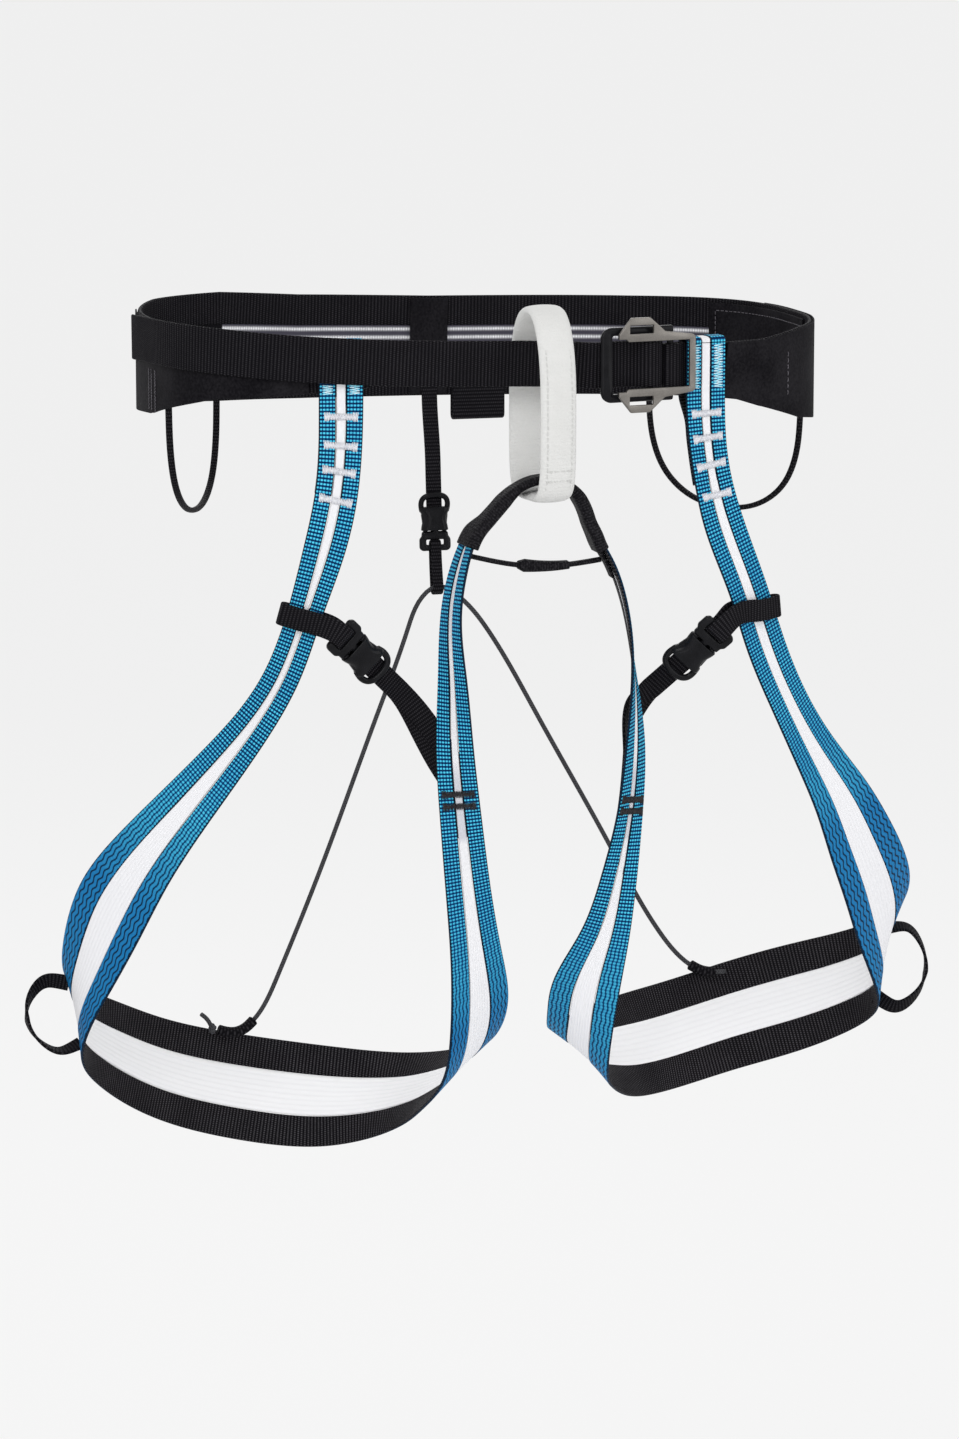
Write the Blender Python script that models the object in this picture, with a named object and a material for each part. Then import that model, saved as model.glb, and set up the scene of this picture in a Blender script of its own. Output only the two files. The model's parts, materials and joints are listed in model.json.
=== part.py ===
"""Climbing harness with split-webbing waist belt and leg loops.

Units are metres and +Z is up. The wearer stands at the origin, in the middle of the waist belt,
and faces -Y, so the belay loop and the waist buckle are on the -Y side.
"""

import math

import bmesh
import bpy
import numpy as np
from mathutils import Matrix, Vector

MM = 0.001

# Length that stands for a full turn of a strap where its points are spaced
TURN_WEIGHT = 0.005

# Clearance between pieces that touch or are sewn together
GAP = 0.0003

# Waist ring: a flattened oval, measured at the middle of the belt's thickness
WAIST_HALF_WIDTH = 0.150
WAIST_HALF_DEPTH = 0.082
WAIST_SQUARENESS = 3.0
BELT_THICKNESS = 0.002
COVER_THICKNESS = 0.0008
COVER_BESIDE_LEFT_RISER = 0.004
COVER_BESIDE_RIGHT_RISER = 0.001
COVER_PAST_STRAP = 0.006
PATCH_THICKNESS = 0.0008
PATCH_INSET = 0.001
LABEL_PATCH_INSET = 0.002
LABEL_PATCH_SHARE = 0.55
REAR_PATCH_HALF_WIDTH = 0.0088

# Split webbing: two edge strips with a panel between them
STRIP_BASE_WIDTH = 0.0027
STRIP_SHARE = 0.2424
STRIP_THICKNESS = 0.0015
PANEL_THICKNESS = 0.001

# Plain webbing
FRONT_STRAP_WIDTH = 0.020
FRONT_STRAP_THICKNESS = 0.0015
STRAP_EASE = 0.0003
ANCHOR_THICKNESS = 0.0014
ANCHOR_HALF_HEIGHT = 0.0104
ANCHOR_BELOW_BUCKLE = 0.0019
ANCHOR_SEAM_END = 0.0083
ANCHOR_CORNER = 0.00115
RISER_WIDTH = 0.019
RISER_EASE = 0.0004
RISER_LIFT = 0.0005
RISER_ARCH_START = 0.0008
RISER_ARCH = 0.0011
RISER_ARCH_SQUARENESS = 2.6
RISER_HANG = 0.004
RISER_BACKING_START = 0.012
RISER_BACKING_END = -0.044
LEG_STRAP_WIDTH = 0.010
LEG_STRAP_THICKNESS = 0.0014
STRAP_LOOP_HALF_GAP = 0.0022
STRAP_BAR_EASE = 0.0005
STRAP_FOLD_EASE = 0.0006
STRAP_LOOP_RISE = 0.0068
STRAP_LOOP_EASE = 0.0014
STRAP_JOIN_EASE = 0.0003
STRAP_END_CLEAR = 0.0011
STRAP_PASS_DEPTH = 0.0040
STRAP_JOIN_HEIGHTS = (-0.172, -0.180, -0.188)
REAR_STRAP_WIDTH = 0.0075
REAR_TAB_WIDTH = 0.025
REAR_TAB_DROP = 0.0105
REAR_TAB_LIMB = 0.010
REAR_TAB_BESIDE_MIDDLE = 0.024
BRIDGE_WIDTH = 0.008
BRIDGE_THICKNESS = 0.0013
BRIDGE_EASE = 0.0002
BRIDGE_TAILS = (0.017, 0.009, 0.001)
SHEATH_WALL = 0.0010
SHEATH_LAP = 0.0035
SHEATH_CUFF = 0.004
SHEATH_TAPER = 0.009
SHEATH_CUFF_EASE = 0.0009
KEEPER_WIDTH = 0.004
KEEPER_THICKNESS = 0.0014
KEEPER_PLACE = 0.0075
KEEPER_EASE = 0.0008
KEEPER_SAG = 0.003
KEEPER_FOLD_WALL = 0.0008
SIDE_LOOP_WIDTH = 0.007
SIDE_LOOP_REACH = 0.022
SIDE_LOOP_EASE = 0.0007
SIDE_LOOP_FOOT = [(0.8, 0.0), (0.0, 0.0004), (-0.6, 0.0019), (-0.95, 0.006)]
SIDE_LOOP_CROWN = [(-0.12, 0.72), (0.22, 0.98), (0.5, 1.0), (0.78, 0.98), (1.12, 0.72)]
LEFT_SIDE_LOOP_FEET = (0.0255, 0.0405)
RIGHT_SIDE_LOOP_FEET = (0.0216, 0.0323)
GEAR_LOOP_WIDTH = 0.0042
GEAR_LOOP_THICKNESS = 0.0024
GEAR_LOOP_END_SHARE = 0.2
GEAR_LOOP_DROP = 0.047
GEAR_LOOP_BELOW_EDGE = 0.0006
GEAR_LOOP_SHAPE = [(0.0, 0.0), (0.015, 0.30), (0.09, 0.66), (0.28, 0.93), (0.5, 1.0),
                   (0.72, 0.93), (0.91, 0.66), (0.985, 0.30), (1.0, 0.0)]

# Belay loop
BELAY_WIDTH = 0.017
BELAY_THICKNESS = 0.0045
BELAY_HEIGHT = 0.0858
BELAY_DEPTH = 0.0375
BELAY_TOP = 0.0364
BELAY_X = 0.0055
BELAY_Y = -0.0855
BELAY_TWIST = math.radians(8)
BELAY_HINGE_HEIGHT = 0.008

# Waist buckle, in its own frame: along the strap, out of the belt, and up
BUCKLE_HINGE = 0.0731
BUCKLE_OUT = 0.0067
BUCKLE_HEIGHT = 0.009
PLATE_THICKNESS = 0.0018
PLATE_LEFT = -0.0153
PLATE_RIGHT = 0.0218
PLATE_BAR = 0.0029
PLATE_WINDOW_LEFT = -0.0107
PLATE_WINDOW_HALF = 0.0103
EAR_HEIGHT = 0.0208
EAR_SLOT_START = -0.0101
EAR_SLOT_LENGTH = 0.0115
EAR_SLOT_HEIGHT = 0.0038
BASE_THICKNESS = 0.0024
BASE_LEFT = -0.022
BASE_RIGHT = 0.013
BASE_HALF_HEIGHT = 0.0165
STRAP_WINDOW_EASE = 0.0028
BASE_SIDE_BAR = 0.0055
BASE_END_BAR = 0.003
BASE_CROSS_BAR = 0.004
BASE_CROSS_PLACE = 0.0015

# Side-release buckles, sizes for 10 mm webbing
CLIP_HALF_WIDTH = 0.0085
CLIP_THICKNESS = 0.006
CLIP_WALL = 0.0016
CLIP_MOUTH = 0.0095
CLIP_END = 0.0288
CLIP_CAVITY_END = 0.0205
CLIP_WINDOW_START = 0.012
CLIP_WINDOW_END = 0.0185
CLIP_TRAVEL = 0.010
CLIP_SQUEEZE = math.radians(9)
PLUG_BACK = -0.0015
PLUG_CORNER = 0.0012
PLUG_BAR_END = 0.0012
PLUG_SLOT_END = 0.0046
PLUG_SHOULDER = 0.0060
PLUG_HALF_WIDTH = 0.0083
PLUG_NECK_HALF_WIDTH = 0.0070
PLUG_BASE_END = 0.0084
PLUG_THICKNESS = 0.003
PLUG_BAR_THICKNESS = 0.002
PRONG_HALF_WIDTH = 0.0014
PRONG_END = 0.0188
PRONG_CORNER = 0.0010
ARM_WIDTH = 0.0022
ARM_TIP_STEP = 0.0012
ARM_WALL_CLEAR = 0.0005
ARM_END_CLEAR = 0.0007
ARM_FACE_WALL = 0.0012
ARM_SWELL = 0.85
ARM_HOLLOW = 0.0018
BODY_OPENING_FRONT = (0.0220, 0.0266)
BODY_OPENING_BACK = (0.0242, 0.0274)
TOOL_REACH = 0.01
REAR_CLIP_SCALE = 0.86

# Elastic cord between the leg loops
CORD_DIAMETER = 0.0022
CORD_SLEEVE_WALL = 0.0011
KNOT_DIAMETER = 0.0055

# Distances along the waist ring from its front middle, positive towards +X
RISER_LEFT = -0.0832
RISER_RIGHT = 0.0810
BELT_LEFT_END = -0.070
BELT_RIGHT_END = 0.0735
STRAP_START = -0.222
STRAP_TAIL_LENGTH = 0.024
COVER_RIGHT_END = 0.232
LABEL_PATCH = (0.176, 0.262)
LEFT_GEAR_LOOP = (-0.170, -0.2925)
RIGHT_GEAR_LOOP = (0.186, 0.291)

# Belt edges along the ring: distance, top height, bottom height, in millimetres
BELT_EDGES = [
    (-404, 23.4, -23), (-340, 26, -22), (-300, 29, -21), (-258, 29, -19), (-230, 27, -17.5),
    (-195, 26.5, -15), (-163, 26.8, -8.2), (-143, 26.5, -3.8), (-110, 23.5, -1.3), (-72, 18.5, 2),
    (0, 18, -2), (72, 16.4, -4.6), (90, 16.4, -5.8), (115, 16.4, -13.4), (143, 19.6, -21), (178, 21, -25.4),
    (234, 20.7, -25.8), (306, 21.4, -25), (404, 23.4, -23),
]

# Front strap: distance along the ring, offset out of the ring, height of the middle, in millimetres
FRONT_STRAP_ROUTE = [
    (-222, 3.3, 15.4), (-190, 3.3, 17.8), (-150, 3.3, 18.2), (-118, 3.4, 16.4),
    (-100, 4.7, 15.2), (-76, 4.7, 13.8), (-40, 3.2, 12.0), (0, 1.0, 10.6), (16, 0.2, 9.8),
]

# Leg webbing: both edges, from below the belt, round the thigh and up to the bridge, in millimetres.
# The first edge is the outer one on the riser and the upper one behind the thigh.
LEFT_LEG_ROUTE = [
    ((-96, -83, -41), (-78, -86, -45)),
    ((-102, -84, -67), (-85, -88, -71)),
    ((-108, -82.5, -91), (-94, -88, -95)),
    ((-118, -77, -121), (-104.5, -85, -125)),
    ((-139, -64, -153), (-126, -76, -164)),
    ((-161, -46, -181), (-145, -65, -195)),
    ((-178, -26, -206), (-157, -52, -220)),
    ((-187, -6, -229), (-166, -41, -243)),
    ((-190, 11, -256), (-177, -29, -269)),
    ((-185, 27, -276), (-186, -12, -297)),
    ((-163, 45, -291), (-174, 18, -324)),
    ((-134, 56, -305), (-144, 39, -347)),
    ((-93, 61, -317), (-100, 50, -364)),
    ((-54, 57, -324), (-63, 43, -368)),
    ((-24, 40, -325), (-38, 16, -356)),
    ((-4, 12, -318), (-31, -20, -336)),
    ((3, -18, -305), (-29, -47, -317)),
    ((2, -44, -282), (-30, -63, -292)),
    ((-6, -62, -256), (-32, -71, -260)),
    ((-15, -76, -224), (-36, -77, -225)),
    ((-22, -86, -190), (-40, -82, -191)),
    ((-27.8, -93, -156), (-42, -83, -157)),
    ((-32.2, -97, -124), (-41.2, -83.6, -126)),
    ((-34.8, -98, -96), (-39.2, -82, -97)),
    ((-30, -95, -72), (-33, -80, -74)),
    ((-27, -93.5, -63), (-29.5, -80.8, -65)),
]
RIGHT_LEG_ROUTE = [
    ((93, -82, -40), (75, -86, -43)),
    ((100, -82, -64), (80, -87, -65)),
    ((111, -80, -92), (91, -87, -93)),
    ((121, -76, -118), (101, -84, -120)),
    ((134, -69, -144), (114, -79, -147)),
    ((152, -58, -169), (129, -71, -175)),
    ((172, -45, -192), (142, -63, -200)),
    ((189, -30, -214), (153, -53, -224)),
    ((203, -13, -234), (164, -43, -247)),
    ((212, 5, -252), (177, -29, -274)),
    ((211, 24, -268), (192, -10, -301)),
    ((200, 41, -279), (195, 15, -319)),
    ((176, 55, -288), (170, 36, -336)),
    ((146, 61, -296), (141, 47, -346)),
    ((117, 57, -302), (110, 40, -351)),
    ((86, 43, -305), (79, 12, -346)),
    ((54, 18, -306), (61, -16, -334)),
    ((31, -14, -304), (50, -43, -319)),
    ((22, -40, -290), (47, -59, -298)),
    ((20, -57, -271), (48, -68, -273)),
    ((28, -71, -247), (50, -75, -248)),
    ((35, -80, -219), (52, -79, -220)),
    ((40, -88, -188), (54, -80, -190)),
    ((42, -94, -156), (54, -81, -158)),
    ((43.4, -97.6, -125), (49.6, -80.4, -127)),
    ((40.8, -97.5, -96), (44.2, -79.5, -98)),
    ((34.8, -95.4, -76), (36.7, -79.6, -78)),
    ((30, -93.8, -67), (31.5, -80.4, -69)),
]

# Bridge webbing: middle line between the two inner leg straps, in millimetres
BRIDGE_ROUTE = [
    (-16.5, -86.5, -53.0), (-6, -86, -43.2), (5.5, -86, -39.8), (16, -86, -42.6), (24, -86.5, -53),
]

# Leg buckles: the plug's bar and the far end of the buckle, and the height at which the strap beyond it
# passes the edge of the inner leg webbing, in millimetres
LEFT_CLIP = [(-86.6, -89.6, -103.8), (-66.9, -80.3, -122.7)]
LEFT_STRAP_PASS = -156.0
RIGHT_CLIP = [(86.0, -89.0, -109.4), (68.4, -78.5, -128.1)]
RIGHT_STRAP_PASS = -145.0

# Rear strap: places of the belt end, the straight run and the cord, in millimetres
REAR_STRAP_TOP = -8.0
REAR_STRAP_STRAIGHT = -50.0
REAR_CLIP_PLUG = (0.0, 69.5, -92.5)
REAR_CORD_PLACE = (0.0, 66.5, -110.4)
REAR_LOOP_WIDTH = 0.005
REAR_LOOP_EASE = 0.0010

# Elastic cord: left end, rear strap and right end, in millimetres
CORD_ROUTE = [
    (-108.5, 55.0, -312.0), (-99.5, 54.8, -313.4), (-93, 56.0, -310.0), (-79, 62, -291), (-57, 67, -243),
    (-29.5, 66.5, -171), (-14, 66.5, -129.6), (-6.5, 66.5, -114.4), (0, 66.5, -110.4), (8, 66.5, -113.6),
    (24, 67, -131), (48.5, 67, -173), (85.5, 67, -239.5), (108.5, 62, -281), (118.5, 57, -293.5),
    (127, 54.8, -298.8), (139, 55.0, -300),
]


def smooth(points, count):
    """Read count points, evenly spaced, from a natural cubic spline through the given ones."""
    knots = np.asarray(points, float)
    flat = knots.reshape(len(knots), -1)
    step = np.linalg.norm(np.diff(flat, axis=0), axis=1)
    at = np.concatenate([[0.0], np.cumsum(step)])
    size = len(at)
    system = np.eye(size)
    right = np.zeros_like(flat)
    for i in range(1, size - 1):
        before, after = step[i - 1], step[i]
        system[i, i - 1:i + 2] = before, 2 * (before + after), after
        slopes = (flat[i + 1] - flat[i]) / after - (flat[i] - flat[i - 1]) / before
        right[i] = 6 * slopes
    bend = np.linalg.solve(system, right)

    def value(where):
        i = np.clip(np.searchsorted(at, where) - 1, 0, size - 2)
        h = step[i][:, None]
        a = ((at[i + 1] - where) / step[i])[:, None]
        b = 1 - a
        curve = (a ** 3 - a) * bend[i] + (b ** 3 - b) * bend[i + 1]
        return a * flat[i] + b * flat[i + 1] + curve * h ** 2 / 6

    fine = value(np.linspace(0, at[-1], 40 * size))
    run = np.concatenate([[0.0], np.cumsum(np.linalg.norm(np.diff(fine, axis=0), axis=1))])
    even = np.linspace(0, run[-1], count)
    result = np.stack([np.interp(even, run, column) for column in fine.T], axis=1)
    return result.reshape((count,) + knots.shape[1:])


def unit(vectors):
    """Scale each vector to length one."""
    vectors = np.asarray(vectors, float)
    return vectors / np.linalg.norm(vectors, axis=-1, keepdims=True)


def tangents(points, closed=False):
    """Direction of travel at each point of a line."""
    if closed:
        return unit(np.roll(points, -1, axis=0) - np.roll(points, 1, axis=0))
    return unit(np.gradient(points, axis=0))


class WaistRing:
    """The belt's middle line in plan, addressed by distance from its front middle."""

    def __init__(self):
        angle = np.linspace(-math.pi / 2, 1.5 * math.pi, 20001)
        power = 2 / WAIST_SQUARENESS
        cos, sin = np.cos(angle), np.sin(angle)
        self.x = WAIST_HALF_WIDTH * np.sign(cos) * np.abs(cos) ** power
        self.y = WAIST_HALF_DEPTH * np.sign(sin) * np.abs(sin) ** power
        step = np.hypot(np.diff(self.x), np.diff(self.y))
        self.run = np.concatenate([[0.0], np.cumsum(step)])
        self.length = self.run[-1]

    def plan(self, distance):
        """Point of the ring in plan."""
        where = np.asarray(distance, float) % self.length
        return np.stack([np.interp(where, self.run, self.x), np.interp(where, self.run, self.y)], axis=-1)

    def along(self, distance):
        """Direction of growing distance in plan."""
        small = 0.002
        return unit(self.plan(np.asarray(distance) + small) - self.plan(np.asarray(distance) - small))

    def point(self, distance, out, height):
        """Point at an offset out of the ring and a height."""
        along = self.along(distance)
        outward = np.stack([along[..., 1], -along[..., 0]], axis=-1)
        flat = self.plan(distance) + np.asarray(out)[..., None] * outward
        return np.concatenate([flat, np.broadcast_to(height, flat.shape[:-1])[..., None]], axis=-1)

    def frame(self, distance):
        """Unit vectors along the ring, out of it and up."""
        along = self.along(distance)
        return np.array([*along, 0.0]), np.array([along[1], -along[0], 0.0]), np.array([0.0, 0.0, 1.0])


RING = WaistRing()
BELT_TABLE = np.array(BELT_EDGES) * MM
HALF_RING = RING.length / 2
BELT_FACE = BELT_THICKNESS / 2
ANCHOR_LIMB = BELT_FACE + GAP + ANCHOR_THICKNESS / 2


def belt_edge(distance, edge):
    """Height of the belt's top (1) or bottom (2) edge; the table spans half a turn each way."""
    share = np.asarray(distance) / HALF_RING * BELT_TABLE[-1, 0]
    return np.interp(share, BELT_TABLE[:, 0], BELT_TABLE[:, edge])


def add_object(name, mesh, material, origin=None, parent=None):
    """Link a mesh as an object whose origin is at a given world point."""
    if origin is not None:
        mesh.transform(Matrix.Translation(-Vector(origin)))
    obj = bpy.data.objects.new(name, mesh)
    bpy.context.scene.collection.objects.link(obj)
    obj.data.materials.append(material)
    if origin is not None:
        obj.location = Vector(origin)
    if parent is not None:
        obj.parent = parent
    return obj


def mesh_from_rings(name, rings, closed):
    """Skin equal rings of points into one closed body, with end faces unless the path is closed.

    Opposite faces of a twisted strip get the same diagonals, so that they stay apart.
    """
    mesh_data = bmesh.new()
    rows = [[mesh_data.verts.new(p) for p in ring] for ring in rings]
    pairs = list(zip(rows, rows[1:]))
    if closed:
        pairs.append((rows[-1], rows[0]))
    for first, second in pairs:
        for i in range(len(first)):
            j = (i + 1) % len(first)
            if i < len(first) / 2:
                mesh_data.faces.new((first[i], first[j], second[j]))
                mesh_data.faces.new((first[i], second[j], second[i]))
            else:
                mesh_data.faces.new((first[i], first[j], second[i]))
                mesh_data.faces.new((first[j], second[j], second[i]))
    if not closed:
        mesh_data.faces.new(rows[0])
        mesh_data.faces.new(rows[-1])
    bmesh.ops.recalc_face_normals(mesh_data, faces=mesh_data.faces)
    mesh = bpy.data.meshes.new(name)
    mesh_data.to_mesh(mesh)
    mesh_data.free()
    return mesh


def strip_rings(first_edge, second_edge, normal, thickness):
    """Four-cornered sections of a flat strip between two edges."""
    half = normal * thickness / 2
    corners = [first_edge - half, second_edge - half, second_edge + half, first_edge + half]
    return np.stack(corners, axis=1)


def webbing(name, centre, across, width, thickness, material, closed=False, origin=None):
    """A flat strap along a middle line, with its width along the given direction."""
    across = unit(np.broadcast_to(across, centre.shape))
    normal = unit(np.cross(tangents(centre, closed), across))
    side = unit(np.cross(normal, tangents(centre, closed)))
    half = side * width / 2
    rings = strip_rings(centre - half, centre + half, normal, thickness)
    return add_object(name, mesh_from_rings(name, rings, closed), material, origin)


def strap_line(name, knots, count, width, thickness, material):
    """A strap through places given as a point and the direction that its face looks there."""
    points = np.array([np.concatenate([point, facing * TURN_WEIGHT]) for point, facing in knots])
    read = smooth(points, count)
    centre = read[:, :3]
    across = unit(np.cross(read[:, 3:], tangents(centre)))
    webbing(name, centre, across, width, thickness, material)
    return centre, across


def sleeve(name, centre, across, width, thickness, wall, material):
    """A flat tube, open at both ends, with a bore of the given width and thickness, which may vary."""
    across = unit(np.broadcast_to(across, centre.shape))
    normal = unit(np.cross(tangents(centre), across))
    side = unit(np.cross(normal, tangents(centre)))

    def section(extra):
        half_width = side * (width / 2 + extra)
        half_thickness = normal * (thickness / 2 + extra)
        corners = [-half_width - half_thickness, half_width - half_thickness,
                   half_width + half_thickness, half_thickness - half_width]
        return np.stack([centre + corner for corner in corners], axis=1)

    outer, bore = section(wall), section(0.0)
    rings = np.concatenate([outer, bore[::-1]], axis=0)
    return add_object(name, mesh_from_rings(name, rings, True), material)


def colour_material(name, colour, roughness, metallic=0.0):
    """A Principled material."""
    material = bpy.data.materials.new(name)
    material.use_nodes = True
    shader = material.node_tree.nodes["Principled BSDF"]
    shader.inputs["Base Color"].default_value = (*colour, 1.0)
    shader.inputs["Roughness"].default_value = roughness
    shader.inputs["Metallic"].default_value = metallic
    return material


def make_materials():
    """One material for each kind of stuff on the harness."""
    return {
        "blue": colour_material("blue_webbing", (0.01, 0.20, 0.42), 0.8),
        "white": colour_material("white_panel", (0.80, 0.80, 0.83), 0.85),
        "black": colour_material("black_webbing", (0.012, 0.011, 0.014), 0.8),
        "grey": colour_material("grey_stripe_panel", (0.30, 0.30, 0.33), 0.85),
        "loop": colour_material("off_white_loop", (0.80, 0.80, 0.77), 0.85),
        "metal": colour_material("silver_plate", (0.42, 0.38, 0.34), 0.35, 1.0),
        "plastic": colour_material("black_plastic", (0.012, 0.012, 0.014), 0.4),
        "cord": colour_material("grey_cord", (0.07, 0.07, 0.08), 0.8),
    }


class SplitWebbing:
    """Two edge strips and the panel between them, ruled between two edge lines."""

    def __init__(self, edges, outward_sign):
        self.first = edges[:, 0]
        self.second = edges[:, 1]
        self.middle = (self.first + self.second) / 2
        self.width = np.linalg.norm(self.second - self.first, axis=1)[:, None]
        self.across = unit(self.second - self.first)
        self.normal = outward_sign * unit(np.cross(tangents(self.middle), self.across))
        step = np.linalg.norm(np.diff(self.middle, axis=0), axis=1)
        self.run = np.concatenate([[0.0], np.cumsum(step)])

    def read(self, values, distance):
        """One row of values at a distance along the middle line; negative counts from the end."""
        where = distance if distance >= 0 else self.run[-1] + distance
        return np.array([np.interp(where, self.run, column) for column in values.T])

    def seat(self, distance, depth):
        """Point at a depth behind the middle line, and the direction that the band faces there."""
        normal = unit(self.read(self.normal, distance))
        return self.read(self.middle, distance) - normal * depth, normal

    def distance_at(self, height, inner):
        """Distance along the band where it passes a height, on the riser or on the inner side."""
        lowest = int(np.argmin(self.middle[:, 2]))
        part = slice(lowest, None) if inner else slice(0, lowest + 1)
        heights, run = self.middle[part, 2], self.run[part]
        if not inner:
            heights, run = heights[::-1], run[::-1]
        return float(np.interp(height, heights, run))

    def strip_width(self):
        """Width of each edge strip, which grows with the whole band."""
        return STRIP_BASE_WIDTH + STRIP_SHARE * self.width

    def build(self, prefix, names, colours, strip_thickness):
        """Make the strip at the first edge, the panel and the strip at the second edge."""
        width = self.strip_width()
        inner_first = self.first + self.across * width
        inner_second = self.second - self.across * width
        clear = self.across * GAP
        bands = [
            (self.first, inner_first, strip_thickness),
            (inner_first + clear, inner_second - clear, PANEL_THICKNESS),
            (inner_second, self.second, strip_thickness),
        ]
        for name, colour, (start, end, thickness) in zip(names, colours, bands):
            rings = strip_rings(start, end, self.normal, thickness)
            full = prefix + name
            add_object(full, mesh_from_rings(full, rings, False), colour)


def belt_cover(name, start, end, out, inset, material, count=30, share=1.0):
    """A thin piece of cloth on one face of the belt, over a share of its height from the top edge down."""
    where = np.linspace(start, end, count)
    offset = np.full(count, out)
    top, bottom = belt_edge(where, 1), belt_edge(where, 2)
    upper = RING.point(where, offset, top - inset)
    lower = RING.point(where, offset, top + (bottom - top) * share + inset)
    normal = np.stack([RING.frame(s)[1] for s in where])
    rings = strip_rings(upper, lower, normal, COVER_THICKNESS)
    return add_object(name, mesh_from_rings(name, rings, False), material)


def build_belt(materials):
    """Belt strips and panel, side covers, the inner patches and the rear tab."""
    where = np.linspace(BELT_RIGHT_END, RING.length + BELT_LEFT_END, 97)
    signed = np.where(where > HALF_RING, where - RING.length, where)
    level = np.zeros(len(where))
    edges = np.stack([RING.point(where, level, belt_edge(signed, 1)),
                      RING.point(where, level, belt_edge(signed, 2))], axis=1)
    belt = SplitWebbing(edges, 1)
    belt.build("belt_", ("upper_strip", "panel", "lower_strip"),
               (materials["black"], materials["grey"], materials["black"]), BELT_THICKNESS)

    black = materials["black"]
    cover_out = BELT_FACE + GAP + COVER_THICKNESS / 2
    belt_cover("belt_cover_left", STRAP_START - COVER_PAST_STRAP,
               RISER_LEFT - RISER_WIDTH / 2 - COVER_BESIDE_LEFT_RISER, cover_out, 0.0, black)
    belt_cover("belt_cover_right", RISER_RIGHT + RISER_WIDTH / 2 + COVER_BESIDE_RIGHT_RISER, COVER_RIGHT_END,
               cover_out, 0.0, black)
    patch_out = -BELT_FACE - GAP - PATCH_THICKNESS / 2
    belt_cover("label_patch", *LABEL_PATCH, patch_out, LABEL_PATCH_INSET, black, 22, LABEL_PATCH_SHARE)
    belt_cover("rear_patch", HALF_RING - REAR_PATCH_HALF_WIDTH, HALF_RING + REAR_PATCH_HALF_WIDTH, patch_out,
               PATCH_INSET, black, 4)

    # The rear tab is a piece of webbing folded round the belt's lower edge
    place = HALF_RING - REAR_TAB_BESIDE_MIDDLE
    along, outward, up = RING.frame(place)
    limb = BELT_FACE + GAP + STRIP_THICKNESS / 2
    bottom = float(belt_edge(place, 2))
    upper = bottom + REAR_TAB_LIMB
    low = bottom - REAR_TAB_DROP
    turn = [math.pi + math.pi * i / 6 for i in range(7)]
    profile = [(-limb, upper)]
    profile += [(limb * math.cos(a), low + limb + limb * math.sin(a)) for a in turn]
    profile += [(limb, upper)]
    foot = RING.point(place, np.array(0.0), 0.0)
    line = np.array([foot + outward * n + up * z for n, z in profile])
    webbing("rear_tab", line, along, REAR_TAB_WIDTH, STRIP_THICKNESS, black)


def leg_band(route, riser, seat, sign):
    """The split webbing of one leg, from the belt's top edge to the bridge."""
    across = RISER_WIDTH / 2 * sign
    out = seat + RISER_EASE + STRIP_THICKNESS / 2
    top = float(belt_edge(riser, 1)) + RISER_LIFT
    bottom = float(belt_edge(riser, 2))
    head = []
    for height in (top, (top + bottom) / 2, bottom - RISER_HANG):
        head.append([RING.point(riser + step, np.array(out), height) for step in (across, -across)])
    edges = smooth(np.concatenate([np.array(head), np.array(route) * MM]), 76)
    return SplitWebbing(edges, -sign)


def riser_backing(name, band, riser, seat, sign, material):
    """The riser's end, which goes over the belt's top edge and is sewn down behind the riser."""
    half = RISER_WIDTH / 2 * sign
    top = float(belt_edge(riser, 1)) + RISER_LIFT + GAP
    bottom = float(belt_edge(riser, 2))
    front = seat + RISER_EASE + STRIP_THICKNESS / 2
    back = seat + STRIP_THICKNESS / 2
    angle = np.linspace(0, math.pi, 13)
    power = 2 / RISER_ARCH_SQUARENESS
    depth = (front - back) / 2 + (front + back) / 2 * np.sign(np.cos(angle)) * np.abs(np.cos(angle)) ** power
    rise = top + RISER_ARCH_START + RISER_ARCH * np.abs(np.sin(angle)) ** power
    profile = [(front, top)] + list(zip(depth, rise))
    profile += [(-back, height) for height in np.linspace(top - GAP, bottom - RISER_LIFT, 6)[1:]]
    rings = []
    for out, height in profile:
        rings.append([RING.point(riser + step, np.array(out), height) for step in (half, -half)])
    behind = STRIP_THICKNESS + GAP
    start = band.distance_at(bottom - RISER_BACKING_START, False)
    end = band.distance_at(RISER_BACKING_END, False)
    for distance in np.linspace(start, end, 6):
        shift = unit(band.read(band.normal, distance)) * behind
        rings.append([band.read(band.first, distance) - shift, band.read(band.second, distance) - shift])
    edges = smooth(np.array(rings), 96)
    middle = edges.mean(axis=1)
    normal = unit(np.cross(tangents(middle), edges[:, 1] - edges[:, 0]))
    sections = strip_rings(edges[:, 0], edges[:, 1], normal, STRIP_THICKNESS)
    add_object(name, mesh_from_rings(name, sections, False), material)


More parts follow.
